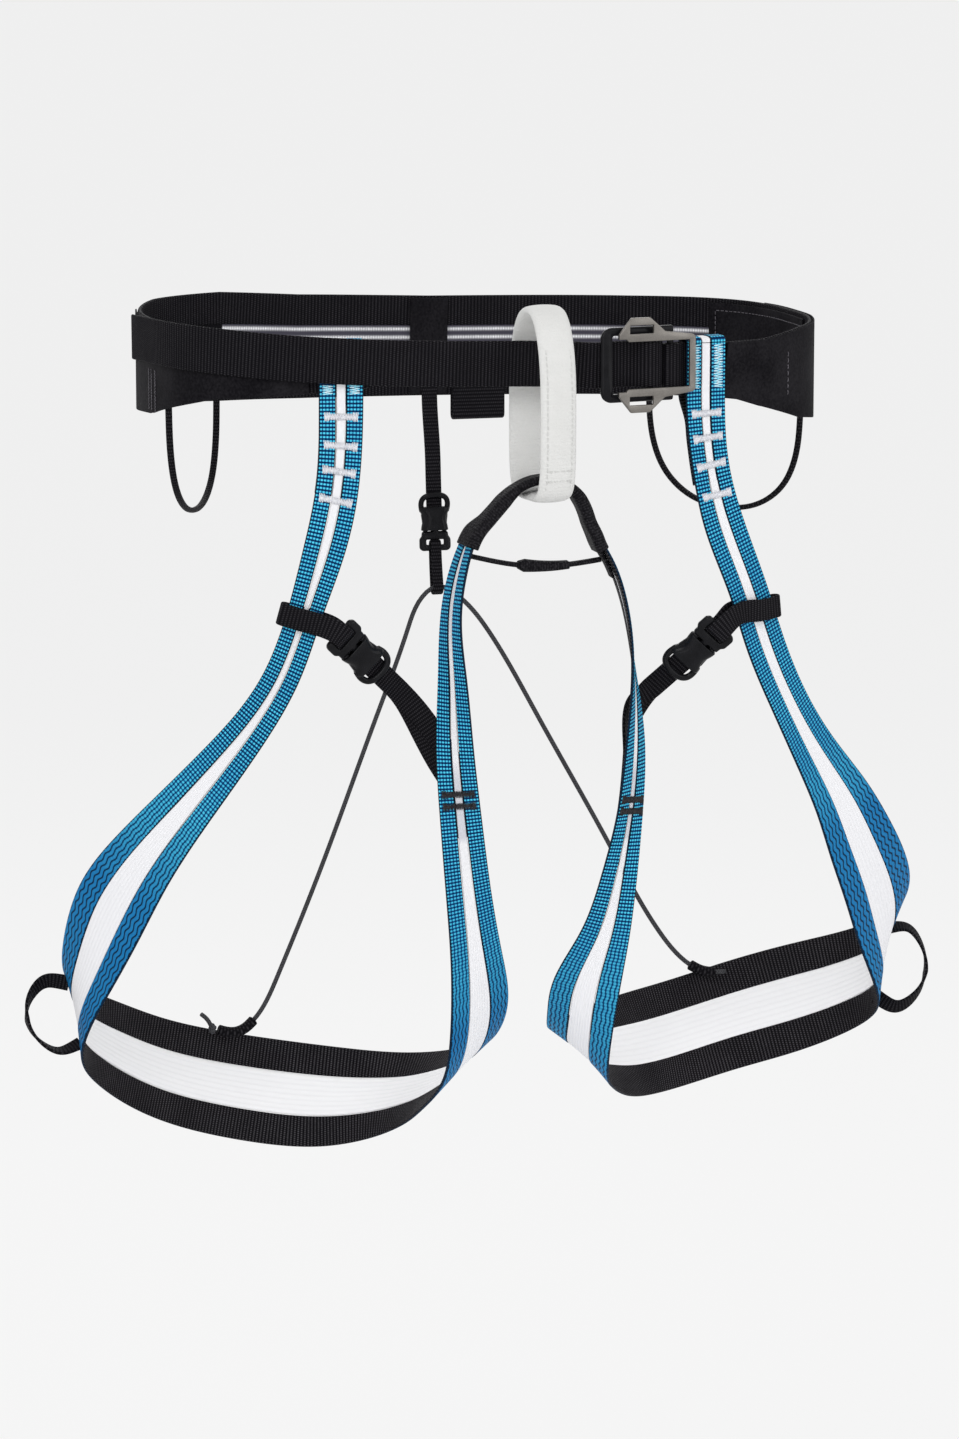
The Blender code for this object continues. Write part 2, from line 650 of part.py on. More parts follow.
def side_loop(name, band, places, material):
    """A small tape loop sewn on the outside of the leg, from one edge strip to the other."""
    seat = STRIP_THICKNESS / 2 + SIDE_LOOP_EASE + LEG_STRAP_THICKNESS / 2
    strip = band.strip_width()
    widest = float(band.run[int(np.argmax(np.abs(band.first[:, 0])))])
    feet = []
    for edge, inward, place in ((band.first, 1, places[0]), (band.second, -1, places[1])):
        line = edge + inward * band.across * strip / 2
        at = widest + place
        travel = unit(band.read(tangents(line), at))
        across = unit(band.read(band.across, at))
        out = unit(np.cross(travel, across))
        facing = unit(band.read(band.normal, at))
        out *= np.sign(np.dot(out, facing))
        reach = inward * across * float(band.read(strip, at)[0]) / 2
        feet.append((band.read(line, at), travel, out, reach))
    lift_way = unit(band.read(band.normal, widest + places[0]))
    knots = []
    for line, travel, out, reach in feet:
        limb = [line + reach * share + out * (seat + lift) for share, lift in SIDE_LOOP_FOOT]
        knots.append([np.concatenate([point, travel * TURN_WEIGHT]) for point in limb])
    crown = []
    for share, height in SIDE_LOOP_CROWN:
        point = feet[0][0] * (1 - share) + feet[1][0] * share
        lift = SIDE_LOOP_REACH * height
        crown.append(np.concatenate([point + lift_way * lift,
                                     (feet[0][1] * (1 - share) + feet[1][1] * share) * TURN_WEIGHT]))
    read = smooth(np.array(knots[0] + crown + knots[1][::-1]), 30)
    webbing(name, read[:, :3], read[:, 3:], SIDE_LOOP_WIDTH, LEG_STRAP_THICKNESS, material)


class ClipFrame:
    """Place of one side-release buckle: along its pull, across it and out of it."""

    def __init__(self, bar, far, outward, scale=1.0):
        self.origin = np.array(bar)
        self.scale = scale
        self.along = unit(np.array(far) - self.origin)
        self.out = unit(outward - self.along * np.dot(outward, self.along))
        self.across = np.cross(self.out, self.along)

    def at(self, along, across=0.0, out=0.0):
        """World point of a place in the buckle's own sizes."""
        local = self.along * along + self.across * across + self.out * out
        return self.origin + local * self.scale

    def matrix(self, along=0.0, across=0.0):
        """World matrix with its origin at a place in the buckle."""
        columns = np.stack([self.along, self.across, self.out], axis=1)
        world = Matrix(columns.tolist()).to_4x4()
        world.translation = Vector(self.at(along, across))
        return world @ Matrix.Scale(self.scale, 4)


def prism(name, outline, low, high):
    """A plate with the given outline, from one height to another."""
    mesh_data = bmesh.new()
    face = mesh_data.faces.new([mesh_data.verts.new((x, y, low)) for x, y in outline])
    grown = bmesh.ops.extrude_face_region(mesh_data, geom=[face])
    moved = [item for item in grown["geom"] if isinstance(item, bmesh.types.BMVert)]
    bmesh.ops.translate(mesh_data, verts=moved, vec=(0, 0, high - low))
    bmesh.ops.recalc_face_normals(mesh_data, faces=mesh_data.faces)
    mesh = bpy.data.meshes.new(name)
    mesh_data.to_mesh(mesh)
    mesh_data.free()
    return mesh


def box_outline(x0, x1, y0, y1):
    """Outline of a rectangle."""
    return [(x0, y0), (x1, y0), (x1, y1), (x0, y1)]


def mirrored(points):
    """Outline that repeats the given upper points below the axis."""
    return points + [(x, -y) for x, y in reversed(points)]


def cut(obj, name, mesh):
    """Cut a hidden tool out of an object; the tool shares the object's frame."""
    tool = bpy.data.objects.new(name, mesh)
    bpy.context.scene.collection.objects.link(tool)
    tool.matrix_world = obj.matrix_world
    tool.hide_render = True
    tool.display_type = "WIRE"
    modifier = obj.modifiers.new(name, "BOOLEAN")
    modifier.operation = "DIFFERENCE"
    modifier.solver = "EXACT"
    modifier.object = tool


def build_clip(prefix, frame, materials):
    """Plug, two spring arms and catch body of one side-release buckle."""
    plastic = materials["plastic"]
    half = PLUG_THICKNESS / 2

    # Plug: a bar for the webbing, the base and the guide prong
    corner = PLUG_BACK + PLUG_CORNER
    outline = mirrored([(PLUG_BACK, PLUG_NECK_HALF_WIDTH), (corner, PLUG_HALF_WIDTH),
                        (PLUG_SLOT_END, PLUG_HALF_WIDTH), (PLUG_SHOULDER, PLUG_NECK_HALF_WIDTH),
                        (PLUG_BASE_END, PLUG_NECK_HALF_WIDTH),
                        (PLUG_BASE_END, PRONG_HALF_WIDTH), (PRONG_END - PRONG_CORNER, PRONG_HALF_WIDTH),
                        (PRONG_END, PRONG_HALF_WIDTH / 2)])
    plug = add_object(prefix + "plug", prism(prefix + "plug", outline, -half, half), plastic)
    plug.matrix_world = frame.matrix()
    slot = LEG_STRAP_WIDTH / 2 + GAP
    opening = box_outline(PLUG_BAR_END, PLUG_SLOT_END, -slot, slot)
    cut(plug, prefix + "plug_slot", prism("slot", opening, -TOOL_REACH, TOOL_REACH))
    recess = box_outline(PLUG_BACK - TOOL_REACH, PLUG_BAR_END + 0.0001, -slot, slot)
    for side, name in ((-1, prefix + "plug_bar_back"), (1, prefix + "plug_bar_front")):
        low, high = sorted((side * PLUG_BAR_THICKNESS / 2, side * TOOL_REACH))
        cut(plug, name, prism(name, recess, low, high))

    # Arms: each swells into the side window and tapers to its tip
    pivot = PLUG_BASE_END + GAP
    ratio = CLIP_SQUEEZE / CLIP_TRAVEL
    inner_wall = CLIP_HALF_WIDTH - CLIP_WALL
    outer_rest = inner_wall - ARM_WALL_CLEAR
    arm_middle = outer_rest - ARM_WIDTH / 2
    arm_half = CLIP_THICKNESS / 2 - ARM_FACE_WALL - GAP
    for side, name in ((1, "arm_a"), (-1, "arm_b")):
        outer = [(0.0, outer_rest), (CLIP_WINDOW_START - pivot, outer_rest)]
        for share in (0.25, 0.5, 0.75, 1.0):
            travel = share * (CLIP_WINDOW_END - CLIP_WINDOW_START - ARM_END_CLEAR)
            lever = CLIP_WINDOW_START - pivot + travel
            outer.append((lever, outer_rest + ARM_SWELL * ratio * travel * lever))
        tip = CLIP_CAVITY_END - pivot - GAP
        inner_rest = outer_rest - ARM_WIDTH
        inner = [(tip, outer_rest - ARM_TIP_STEP), (tip, inner_rest), (0.0, inner_rest)]
        outline = [(x, side * (y - arm_middle)) for x, y in outer + inner]
        arm = add_object(prefix + name, prism(prefix + name, outline, -arm_half, arm_half), plastic)
        arm.matrix_world = frame.matrix(pivot, side * arm_middle)

    # Catch body: shell with a mouth, two side windows and a slotted end for the webbing
    width = CLIP_HALF_WIDTH
    outline = mirrored([(CLIP_MOUTH, width - 0.0008), (CLIP_MOUTH + 0.001, width), (0.0190, width),
                        (0.0215, width - 0.0011), (0.0250, width - 0.0006), (0.0273, width),
                        (CLIP_END - 0.0004, width - 0.0006), (CLIP_END, width - 0.0016)])
    high = CLIP_THICKNESS / 2
    body = add_object(prefix + "body", prism(prefix + "body", outline, -high, high), plastic)
    body.matrix_world = frame.matrix()
    hollow = ARM_HOLLOW
    cavity = box_outline(CLIP_MOUTH - 0.001, CLIP_CAVITY_END, -inner_wall, inner_wall)
    cut(body, prefix + "cavity", prism("cavity", cavity, -hollow, hollow))
    windows = box_outline(CLIP_WINDOW_START, CLIP_WINDOW_END, -width - 0.001, width + 0.001)
    cut(body, prefix + "windows", prism("windows", windows, -hollow, hollow))
    channel = LEG_STRAP_WIDTH / 2 + GAP
    clear = LEG_STRAP_THICKNESS / 2 + GAP
    run = box_outline(CLIP_CAVITY_END - 0.001, CLIP_END + 0.001, -channel, channel)
    cut(body, prefix + "channel", prism("channel", run, -clear, clear))
    front = box_outline(*BODY_OPENING_FRONT, -channel, channel)
    cut(body, prefix + "front_opening", prism("front_opening", front, 0.0, high + 0.001))
    back = box_outline(*BODY_OPENING_BACK, -channel, channel)
    cut(body, prefix + "back_opening", prism("back_opening", back, -high - 0.001, 0.0))


def loop_between(name, line, across, out, gap_half, width, thickness, material):
    """A flattened closed loop of webbing: out along a line on one face and back on the other."""
    reach = np.broadcast_to(gap_half, len(line))[:, None] + thickness / 2
    travel = tangents(line)
    turn = np.linspace(-math.pi / 2, math.pi / 2, 7)[1:-1]
    far = [line[-1] + reach[-1] * (travel[-1] * math.cos(a) - out[-1] * math.sin(a)) for a in turn]
    near = [line[0] - reach[0] * (travel[0] * math.cos(a) - out[0] * math.sin(a)) for a in turn]
    centre = np.concatenate([line + out * reach, np.array(far), (line - out * reach)[::-1], np.array(near)])
    sides = np.concatenate([across, np.repeat(across[-1:], len(turn), 0), across[::-1],
                            np.repeat(across[:1], len(turn), 0)])
    return webbing(name, centre, sides, width, thickness, material, closed=True)


def build_leg(side, route, riser, sign, seat, clip_points, strap_pass, loop_feet, materials):
    """Everything on one leg."""
    prefix = side + "_leg_"
    band = leg_band(route, riser, seat, sign)
    band.build(prefix, ("upper_strip", "panel", "lower_strip"),
               (materials["blue"], materials["white"], materials["blue"]), STRIP_THICKNESS)
    riser_backing(side + "_riser_backing", band, riser, seat, sign, materials["blue"])
    side_loop(prefix + "side_loop", band, loop_feet, materials["black"])

    # Buckle frame, and the loop that ties its plug to the riser
    bar, far = (np.array(p) * MM for p in clip_points)
    frame = ClipFrame(bar, far, np.array([0.0, -1.0, 0.0]))
    build_clip(prefix + "clip_", frame, materials)
    crossing = band.distance_at(bar[2] + STRAP_LOOP_RISE, False)
    middle, normal = band.seat(crossing, 0.0)
    across = unit(band.read(band.across, crossing))
    half = float(band.read(band.width, crossing)[0]) / 2
    knots = [(frame.at(0.0013), frame.out), (frame.at(-0.0012), frame.out),
             (middle + across * (half + STRAP_LOOP_EASE), normal), (middle, normal),
             (middle - across * (half + STRAP_FOLD_EASE), normal)]
    read = smooth(np.array([np.concatenate([point, out * TURN_WEIGHT]) for point, out in knots]), 11)
    line, out = read[:, :3], unit(read[:, 3:])
    bar_gap = PLUG_BAR_THICKNESS / 2 + STRAP_BAR_EASE
    wide = STRAP_LOOP_HALF_GAP
    gap_half = np.interp(np.arange(11), (0, 4, 7, 10), (bar_gap, wide, wide, bar_gap))
    loop_between(prefix + "strap_loop", line, np.cross(tangents(line), out), out, gap_half,
                 LEG_STRAP_WIDTH, LEG_STRAP_THICKNESS, materials["black"])

    # Inner strap: straight through the buckle's end, round the edge of the inner leg webbing and behind it
    behind = STRIP_THICKNESS / 2 + GAP + LEG_STRAP_THICKNESS / 2 + STRAP_JOIN_EASE
    start = CLIP_CAVITY_END + STRAP_END_CLEAR
    knots = [(frame.at(a), frame.out) for a in np.linspace(start, CLIP_END + CLIP_TRAVEL + 0.002, 8)]
    passing = band.distance_at(strap_pass * MM, True)
    normal = unit(band.read(band.normal, passing))
    knots.append((band.read(band.second, passing) - normal * (behind + STRAP_PASS_DEPTH), normal))
    knots += [band.seat(band.distance_at(height, True), behind) for height in STRAP_JOIN_HEIGHTS]
    strap_line(prefix + "strap_inner", knots, 30, LEG_STRAP_WIDTH, LEG_STRAP_THICKNESS, materials["black"])
    return band


def build_bridge(left, right, materials):
    """Bridge webbing between the legs, its sheath and the elastic keeper below it."""
    behind = STRIP_THICKNESS / 2 + GAP + BRIDGE_THICKNESS / 2 + BRIDGE_EASE
    ends = []
    for band in (left, right):
        tail = [band.seat(-distance, behind) for distance in BRIDGE_TAILS]
        ends.append(tail)
    route = np.array(BRIDGE_ROUTE) * MM
    travel = tangents(route)
    facing = unit(np.stack([-travel[:, 2], np.zeros(len(route)), travel[:, 0]], axis=1))
    knots = ends[0] + list(zip(route, facing)) + ends[1][::-1]
    line, across = strap_line("bridge_strap", knots, 56, BRIDGE_WIDTH, BRIDGE_THICKNESS, materials["black"])

    # The sheath is a sleeve whose two cuffs also take in the ends of the leg webbing
    step = np.linalg.norm(np.diff(line, axis=0), axis=1)
    run = np.concatenate([[0.0], np.cumsum(step)])
    start, end = (run[np.argmin(np.linalg.norm(line - band.middle[-1], axis=1))] for band in (left, right))
    where = np.linspace(start - SHEATH_LAP, end + SHEATH_LAP, 34)
    centre = np.stack([np.interp(where, run, column) for column in line.T], axis=1)
    side = unit(np.stack([np.interp(where, run, column) for column in across.T], axis=1))
    inside = np.minimum(where - where[0], where[-1] - where)
    share = np.clip(1 - (inside - SHEATH_LAP - SHEATH_CUFF) / SHEATH_TAPER, 0, 1)[:, None]
    share = share * share * (3 - 2 * share)
    cuff_width = max(float(band.width[-1, 0]) for band in (left, right)) + 2 * SHEATH_CUFF_EASE
    cuff_thickness = behind + (BRIDGE_THICKNESS + STRIP_THICKNESS) / 2 + 2 * SHEATH_CUFF_EASE
    width = BRIDGE_WIDTH + 2 * GAP + share * (cuff_width - BRIDGE_WIDTH - 2 * GAP)
    thickness = BRIDGE_THICKNESS + 2 * GAP + share * (cuff_thickness - BRIDGE_THICKNESS - 2 * GAP)
    facing = unit(np.cross(tangents(centre), side))
    centre = centre + facing * share * (behind + (STRIP_THICKNESS - BRIDGE_THICKNESS) / 2) / 2
    sleeve("bridge_sheath", centre, side, width, thickness, SHEATH_WALL, materials["black"])

    # The keeper runs between the bridge's two tails
    ends = [band.seat(-KEEPER_PLACE, behind + BRIDGE_THICKNESS / 2 + KEEPER_EASE) for band in (left, right)]
    ends = [point for point, facing in ends]
    sag = np.array([0.0, 0.0, KEEPER_SAG])
    knots = [ends[0], ends[0] * 0.7 + ends[1] * 0.3 - sag, ends[0] * 0.3 + ends[1] * 0.7 - sag, ends[1]]
    line = smooth(np.array(knots), 17)
    across = np.array([0.0, 1.0, 0.0])
    webbing("bridge_keeper", line, across, KEEPER_WIDTH, KEEPER_THICKNESS, materials["black"])
    sleeve("bridge_keeper_fold", line[6:13], across, KEEPER_WIDTH + 2 * GAP, KEEPER_THICKNESS + 2 * GAP,
           KEEPER_FOLD_WALL, materials["black"])


def build_belay_loop(materials):
    """Closed loop of stiff tape round the front strap and the bridge: an arch above, flatter below."""
    half_depth = (BELAY_DEPTH - BELAY_THICKNESS) / 2
    half_height = (BELAY_HEIGHT - BELAY_THICKNESS) / 2
    middle_height = BELAY_TOP - BELAY_THICKNESS / 2 - half_height
    angle = np.linspace(0, 2 * math.pi, 48, endpoint=False)
    cos, sin = np.cos(angle), np.sin(angle)
    power = np.where(sin > 0, 2 / 2.3, 2 / 5.0)
    depth = half_depth * np.sign(cos) * np.abs(cos) ** power
    height = half_height * np.sign(sin) * np.abs(sin) ** power
    even = smooth(np.stack([np.append(depth, depth[0]), np.append(height, height[0])], axis=1), 45)[:-1]
    facing = np.array([math.sin(BELAY_TWIST), -math.cos(BELAY_TWIST), 0.0])
    across = np.array([math.cos(BELAY_TWIST), math.sin(BELAY_TWIST), 0.0])
    centre = np.array([BELAY_X, BELAY_Y, middle_height])
    line = centre + even[:, :1] * facing + even[:, 1:] * np.array([0.0, 0.0, 1.0])
    hinge = (BELAY_X, BELAY_Y, BELAY_HINGE_HEIGHT)
    loop = webbing("belay_loop", line, across, BELAY_WIDTH, BELAY_THICKNESS, materials["loop"], True, hinge)
    loop.data.shade_smooth()


def build_waist_buckle(materials):
    """Front strap, silver plate, black base plate and the anchor webbing."""
    hinge_at = PLATE_RIGHT - PLATE_BAR / 2
    along, outward, up = RING.frame(BUCKLE_HINGE)
    origin = RING.point(BUCKLE_HINGE, np.array(BUCKLE_OUT), BUCKLE_HEIGHT) - along * hinge_at

    def local(t, n, height=0.0):
        return origin + along * t + outward * n + up * height

    columns = np.stack([along, up, outward], axis=1)
    world = Matrix(columns.tolist()).to_4x4()
    plate_back = -PLATE_THICKNESS / 2
    crest = plate_back - GAP - FRONT_STRAP_THICKNESS / 2
    base_front = crest - FRONT_STRAP_THICKNESS / 2 - GAP
    base_back = base_front - BASE_THICKNESS
    under = base_back - GAP - STRAP_EASE - FRONT_STRAP_THICKNESS / 2
    tail = under - FRONT_STRAP_THICKNESS - GAP

    # Silver plate: ears with slots above and below a window that is open to the left
    ear = EAR_HEIGHT
    rail = PLATE_WINDOW_HALF
    upper = [(PLATE_RIGHT - PLATE_BAR, rail), (PLATE_WINDOW_LEFT, rail),
             (PLATE_WINDOW_LEFT - 0.001, rail + 0.0012),
             (PLATE_LEFT, rail + 0.0012), (PLATE_LEFT, rail + 0.0033), (-0.0093, ear), (-0.0003, ear),
             (0.0070, rail + 0.0042), (PLATE_RIGHT - 0.0012, rail + 0.0024), (PLATE_RIGHT, rail + 0.0012)]
    outline = [(x, y) for x, y in upper] + [(x, -y) for x, y in reversed(upper)]
    outline = [(x - hinge_at, y) for x, y in outline]
    plate = add_object("waist_buckle_plate", prism("waist_buckle_plate", outline, plate_back, -plate_back),
                       materials["metal"])
    world.translation = Vector(local(hinge_at, 0.0))
    plate.matrix_world = world
    slot_low = rail + 0.0034
    for side in (-1, 1):
        low, high = sorted((side * slot_low, side * (slot_low + EAR_SLOT_HEIGHT)))
        x = EAR_SLOT_START - hinge_at
        name = f"ear_slot_{'low' if side < 0 else 'high'}"
        cut(plate, name, prism(name, box_outline(x, x + EAR_SLOT_LENGTH, low, high), -TOOL_REACH, TOOL_REACH))

    # Black base plate: an open frame with one cross bar
    half = BASE_HALF_HEIGHT
    corner = 0.004
    outline = [(BASE_LEFT, half - corner), (BASE_LEFT, corner - half), (BASE_LEFT + 0.0012, 0.0015 - half),
               (BASE_LEFT + corner, -half), (BASE_RIGHT, -half), (BASE_RIGHT, half),
               (BASE_LEFT + corner, half),
               (BASE_LEFT + 0.0012, half - 0.0015)]
    base = add_object("waist_buckle_base", prism("waist_buckle_base", outline, base_back, base_front),
                      materials["plastic"])
    world.translation = Vector(origin)
    base.matrix_world = world
    clear = FRONT_STRAP_WIDTH / 2 + STRAP_WINDOW_EASE
    bar = BASE_CROSS_BAR / 2
    for name, x0, x1 in (("base_left_window", BASE_LEFT + BASE_SIDE_BAR, BASE_CROSS_PLACE - bar),
                         ("base_right_window", BASE_CROSS_PLACE + bar, BASE_RIGHT - BASE_END_BAR)):
        window = box_outline(x0, x1, -clear, clear)
        cut(base, name, prism(name, window, base_back - TOOL_REACH, base_front + TOOL_REACH))

    # Front strap: round the ring, over the cross bar and back behind itself
    route = smooth(np.array(FRONT_STRAP_ROUTE) * MM, 62)
    fold = BASE_CROSS_PLACE + bar + 0.0027
    level = BASE_LEFT + BASE_SIDE_BAR + 0.002
    knots = list(RING.point(route[:, 0], route[:, 1], route[:, 2]))
    knots += [local(BASE_LEFT - 0.002, under), local(level, under)]
    doubled = len(knots)
    knots += [local(BASE_CROSS_PLACE - 0.0075, (under + crest) / 2), local(BASE_CROSS_PLACE - 0.002, crest),
              local(BASE_CROSS_PLACE + 0.002, crest), local(fold, (base_front + base_back) / 2),
              local(fold + 0.0003, under), local(fold - 0.002, tail), local(BASE_CROSS_PLACE - 0.006, tail)]
    incoming = smooth(np.array(knots[:doubled]), 120)
    inward = unit(np.cross(up, tangents(incoming)))
    step = np.linalg.norm(incoming[1] - incoming[0])
    count = int(STRAP_TAIL_LENGTH / step)
    returning = (incoming + inward * (FRONT_STRAP_THICKNESS + GAP))[::-1][:count]
    line = smooth(np.concatenate([np.array(knots), returning]), 150)
    black = materials["black"]
    webbing("front_strap", line, (0.0, 0.0, 1.0), FRONT_STRAP_WIDTH, FRONT_STRAP_THICKNESS, black)

    # Anchor webbing: folded round the base's right bar, with the belt's end between its limbs
    front = base_front + GAP + ANCHOR_THICKNESS / 2
    back = base_back - GAP - ANCHOR_THICKNESS / 2
    middle = (front + back) / 2
    corner = ANCHOR_CORNER
    bar_edge = BASE_RIGHT - BASE_END_BAR
    straight = (front - back) / 2 - corner
    height = -ANCHOR_BELOW_BUCKLE

    def seam(sign, end):
        where = np.linspace(RISER_RIGHT + ANCHOR_SEAM_END, end, 8)
        return RING.point(where, np.full(8, sign * ANCHOR_LIMB), BUCKLE_HEIGHT - ANCHOR_BELOW_BUCKLE)

    turn = np.linspace(0, math.pi / 2, 5)
    fold = [(bar_edge - corner * math.sin(a), middle + straight + corner * math.cos(a)) for a in turn]
    fold += [(bar_edge - corner * math.cos(a), middle - straight - corner * math.sin(a)) for a in turn]
    fold = [(BASE_RIGHT, front), (BASE_RIGHT - BASE_END_BAR / 2, front)] + fold
    fold += [(BASE_RIGHT - BASE_END_BAR / 2, back), (BASE_RIGHT, back)]
    riser_edge = RISER_RIGHT - RISER_WIDTH / 2
    round_bar = np.array([local(t, n, height) for t, n in fold])
    knots = [seam(1, riser_edge + GAP), round_bar, seam(-1, BELT_RIGHT_END - GAP)[::-1]]
    line = smooth(np.concatenate(knots), 96)
    webbing("buckle_anchor", line, (0.0, 0.0, 1.0), 2 * ANCHOR_HALF_HEIGHT, ANCHOR_THICKNESS, black)


def build_gear_loop(name, start, end, materials):
    """A tape loop that hangs from two places on the belt's lower edge."""
    ends = []
    for place in (start, end):
        ends.append(RING.point(place, np.array(0.0), float(belt_edge(place, 2)) - GEAR_LOOP_BELOW_EDGE))
    down = np.array([0.0, 0.0, -1.0])
    knots = [ends[0] * (1 - s) + ends[1] * s + down * GEAR_LOOP_DROP * d for s, d in GEAR_LOOP_SHAPE]
    line = smooth(np.array(knots), 30)
    chord = unit(ends[1] - ends[0])
    sideways = unit(np.cross(chord, down))
    hinge = tuple((ends[0] + ends[1]) / 2)
    ease = np.minimum(np.arange(30), np.arange(30)[::-1])[:, None] / 2
    width = np.clip(ease, GEAR_LOOP_END_SHARE, 1) * GEAR_LOOP_WIDTH
    webbing(name, line, sideways, width, GEAR_LOOP_THICKNESS, materials["black"], origin=hinge)


def build_rear(materials):
    """Rear strap, its buckle and the elastic cord to both legs."""
    plug = np.array(REAR_CLIP_PLUG) * MM
    seat = WAIST_HALF_DEPTH - BELT_FACE - GAP - PATCH_THICKNESS - GAP - LEG_STRAP_THICKNESS / 2
    top = np.array([0.0, seat, REAR_STRAP_TOP * MM])
    straight = np.array([0.0, plug[1] + 0.004, REAR_STRAP_STRAIGHT * MM])
    frame = ClipFrame(plug, straight, np.array([0.0, -1.0, 0.0]), REAR_CLIP_SCALE)
    build_clip("rear_clip_", frame, materials)
    below = np.array([0.0, seat, float(belt_edge(HALF_RING, 2)) - 0.002])
    through = np.linspace(CLIP_END + CLIP_TRAVEL, CLIP_CAVITY_END + STRAP_END_CLEAR, 6)
    knots = [top, below, straight] + [frame.at(a) for a in through]
    webbing("rear_strap_upper", smooth(np.array(knots), 20), (1.0, 0.0, 0.0), REAR_STRAP_WIDTH,
            LEG_STRAP_THICKNESS * REAR_CLIP_SCALE, materials["black"])
    cord = np.array(REAR_CORD_PLACE) * MM
    below_cord = cord - np.array([0.0, 0.0, REAR_LOOP_EASE / 2])
    line = smooth(np.array([frame.at(PLUG_BAR_END), frame.at(-0.004), below_cord]), 6)
    across = np.repeat([[1.0, 0.0, 0.0]], 6, 0)
    out = unit(np.cross(across, tangents(line)))
    gap_half = np.linspace(PLUG_BAR_THICKNESS / 2 + GAP, CORD_DIAMETER / 2 + REAR_LOOP_EASE, 6)
    loop_between("rear_strap_lower", line, across, out, gap_half, REAR_LOOP_WIDTH,
                 LEG_STRAP_THICKNESS * REAR_CLIP_SCALE, materials["black"])

    # Elastic cord, its sleeves on the leg loops and the knot at its left end
    points = smooth(np.array(CORD_ROUTE) * MM, 80)
    curve = bpy.data.curves.new("elastic_cord", "CURVE")
    curve.dimensions = "3D"
    curve.bevel_depth = CORD_DIAMETER / 2
    curve.bevel_resolution = 2
    curve.use_fill_caps = True
    spline = curve.splines.new("POLY")
    spline.points.add(len(points) - 1)
    for target, point in zip(spline.points, points):
        target.co = (*point, 1.0)
    cord_object = bpy.data.objects.new("elastic_cord", curve)
    bpy.context.scene.collection.objects.link(cord_object)
    curve.materials.append(materials["cord"])
    bore = CORD_DIAMETER + 2 * GAP
    for name, part in (("left_cord_sleeve", points[1:4]), ("right_cord_sleeve", points[-4:-1])):
        sleeve(name, part, (0.0, 1.0, 0.0), bore, bore, CORD_SLEEVE_WALL, materials["black"])
    mesh_data = bmesh.new()
    bmesh.ops.create_icosphere(mesh_data, subdivisions=2, radius=KNOT_DIAMETER / 2)
    mesh = bpy.data.meshes.new("cord_knot")
    mesh_data.to_mesh(mesh)
    mesh_data.free()
    knot = add_object("cord_knot", mesh, materials["cord"])
    knot.location = Vector(points[0] - unit(points[1] - points[0]) * (KNOT_DIAMETER / 2 + GAP))


def main():
    """Build the whole harness."""
    for obj in list(bpy.data.objects):
        bpy.data.objects.remove(obj)
    materials = make_materials()
    build_belt(materials)
    left_seat = BELT_FACE + GAP
    right_seat = ANCHOR_LIMB + ANCHOR_THICKNESS / 2 + GAP
    left = build_leg("left", LEFT_LEG_ROUTE, RISER_LEFT, -1, left_seat, LEFT_CLIP, LEFT_STRAP_PASS,
                     LEFT_SIDE_LOOP_FEET, materials)
    right = build_leg("right", RIGHT_LEG_ROUTE, RISER_RIGHT, 1, right_seat, RIGHT_CLIP, RIGHT_STRAP_PASS,
                      RIGHT_SIDE_LOOP_FEET, materials)
    build_bridge(left, right, materials)
    build_belay_loop(materials)
    build_waist_buckle(materials)
    build_gear_loop("left_gear_loop", *LEFT_GEAR_LOOP, materials)
    build_gear_loop("right_gear_loop", *RIGHT_GEAR_LOOP, materials)
    build_rear(materials)


main()
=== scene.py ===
"""Looks of a climbing harness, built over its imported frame.

Every strap is one closed surface: a flat profile with round edges, carried along the strap's middle line.
Sizes are in metres, +Z is up and -Y is the front.
"""

import json
import math

import bmesh
import bpy
import numpy as np
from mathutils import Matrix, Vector


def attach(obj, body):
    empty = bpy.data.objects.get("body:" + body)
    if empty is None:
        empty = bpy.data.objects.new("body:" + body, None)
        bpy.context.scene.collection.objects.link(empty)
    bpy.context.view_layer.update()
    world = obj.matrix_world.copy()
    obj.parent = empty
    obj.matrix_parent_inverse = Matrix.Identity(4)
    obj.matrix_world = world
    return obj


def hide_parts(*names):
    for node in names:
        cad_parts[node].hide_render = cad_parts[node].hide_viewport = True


bl_info = {
    "name": "Climbing harness",
    "version": (1, 0, 0),
    "blender": (4, 5, 0),
    "location": "3D View > Sidebar > Harness",
    "description": "Webbing, buckles, cord and stage of a climbing harness",
    "category": "Object",
}

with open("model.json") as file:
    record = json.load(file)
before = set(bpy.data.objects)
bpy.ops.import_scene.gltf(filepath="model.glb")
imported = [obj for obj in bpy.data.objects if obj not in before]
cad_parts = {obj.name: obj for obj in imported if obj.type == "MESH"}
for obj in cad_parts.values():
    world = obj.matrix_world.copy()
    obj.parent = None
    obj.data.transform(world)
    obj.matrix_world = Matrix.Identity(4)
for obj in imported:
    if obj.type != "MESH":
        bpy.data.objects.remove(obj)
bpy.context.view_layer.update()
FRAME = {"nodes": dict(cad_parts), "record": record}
NODE_BODY = {node: body for body, nodes in FRAME["record"]["behaviour"]["bodies"].items() for node in nodes}

MM = 0.001
HALF_TURN = math.pi
FULL_TURN = 2 * math.pi
UP = np.array([0.0, 0.0, 1.0])
FORWARD = np.array([0.0, -1.0, 0.0])

# Length that stands for a full turn of a strap where its points are spaced
TURN_WEIGHT = 0.005

# Clearance between pieces that touch or are sewn together
GAP = 0.0003

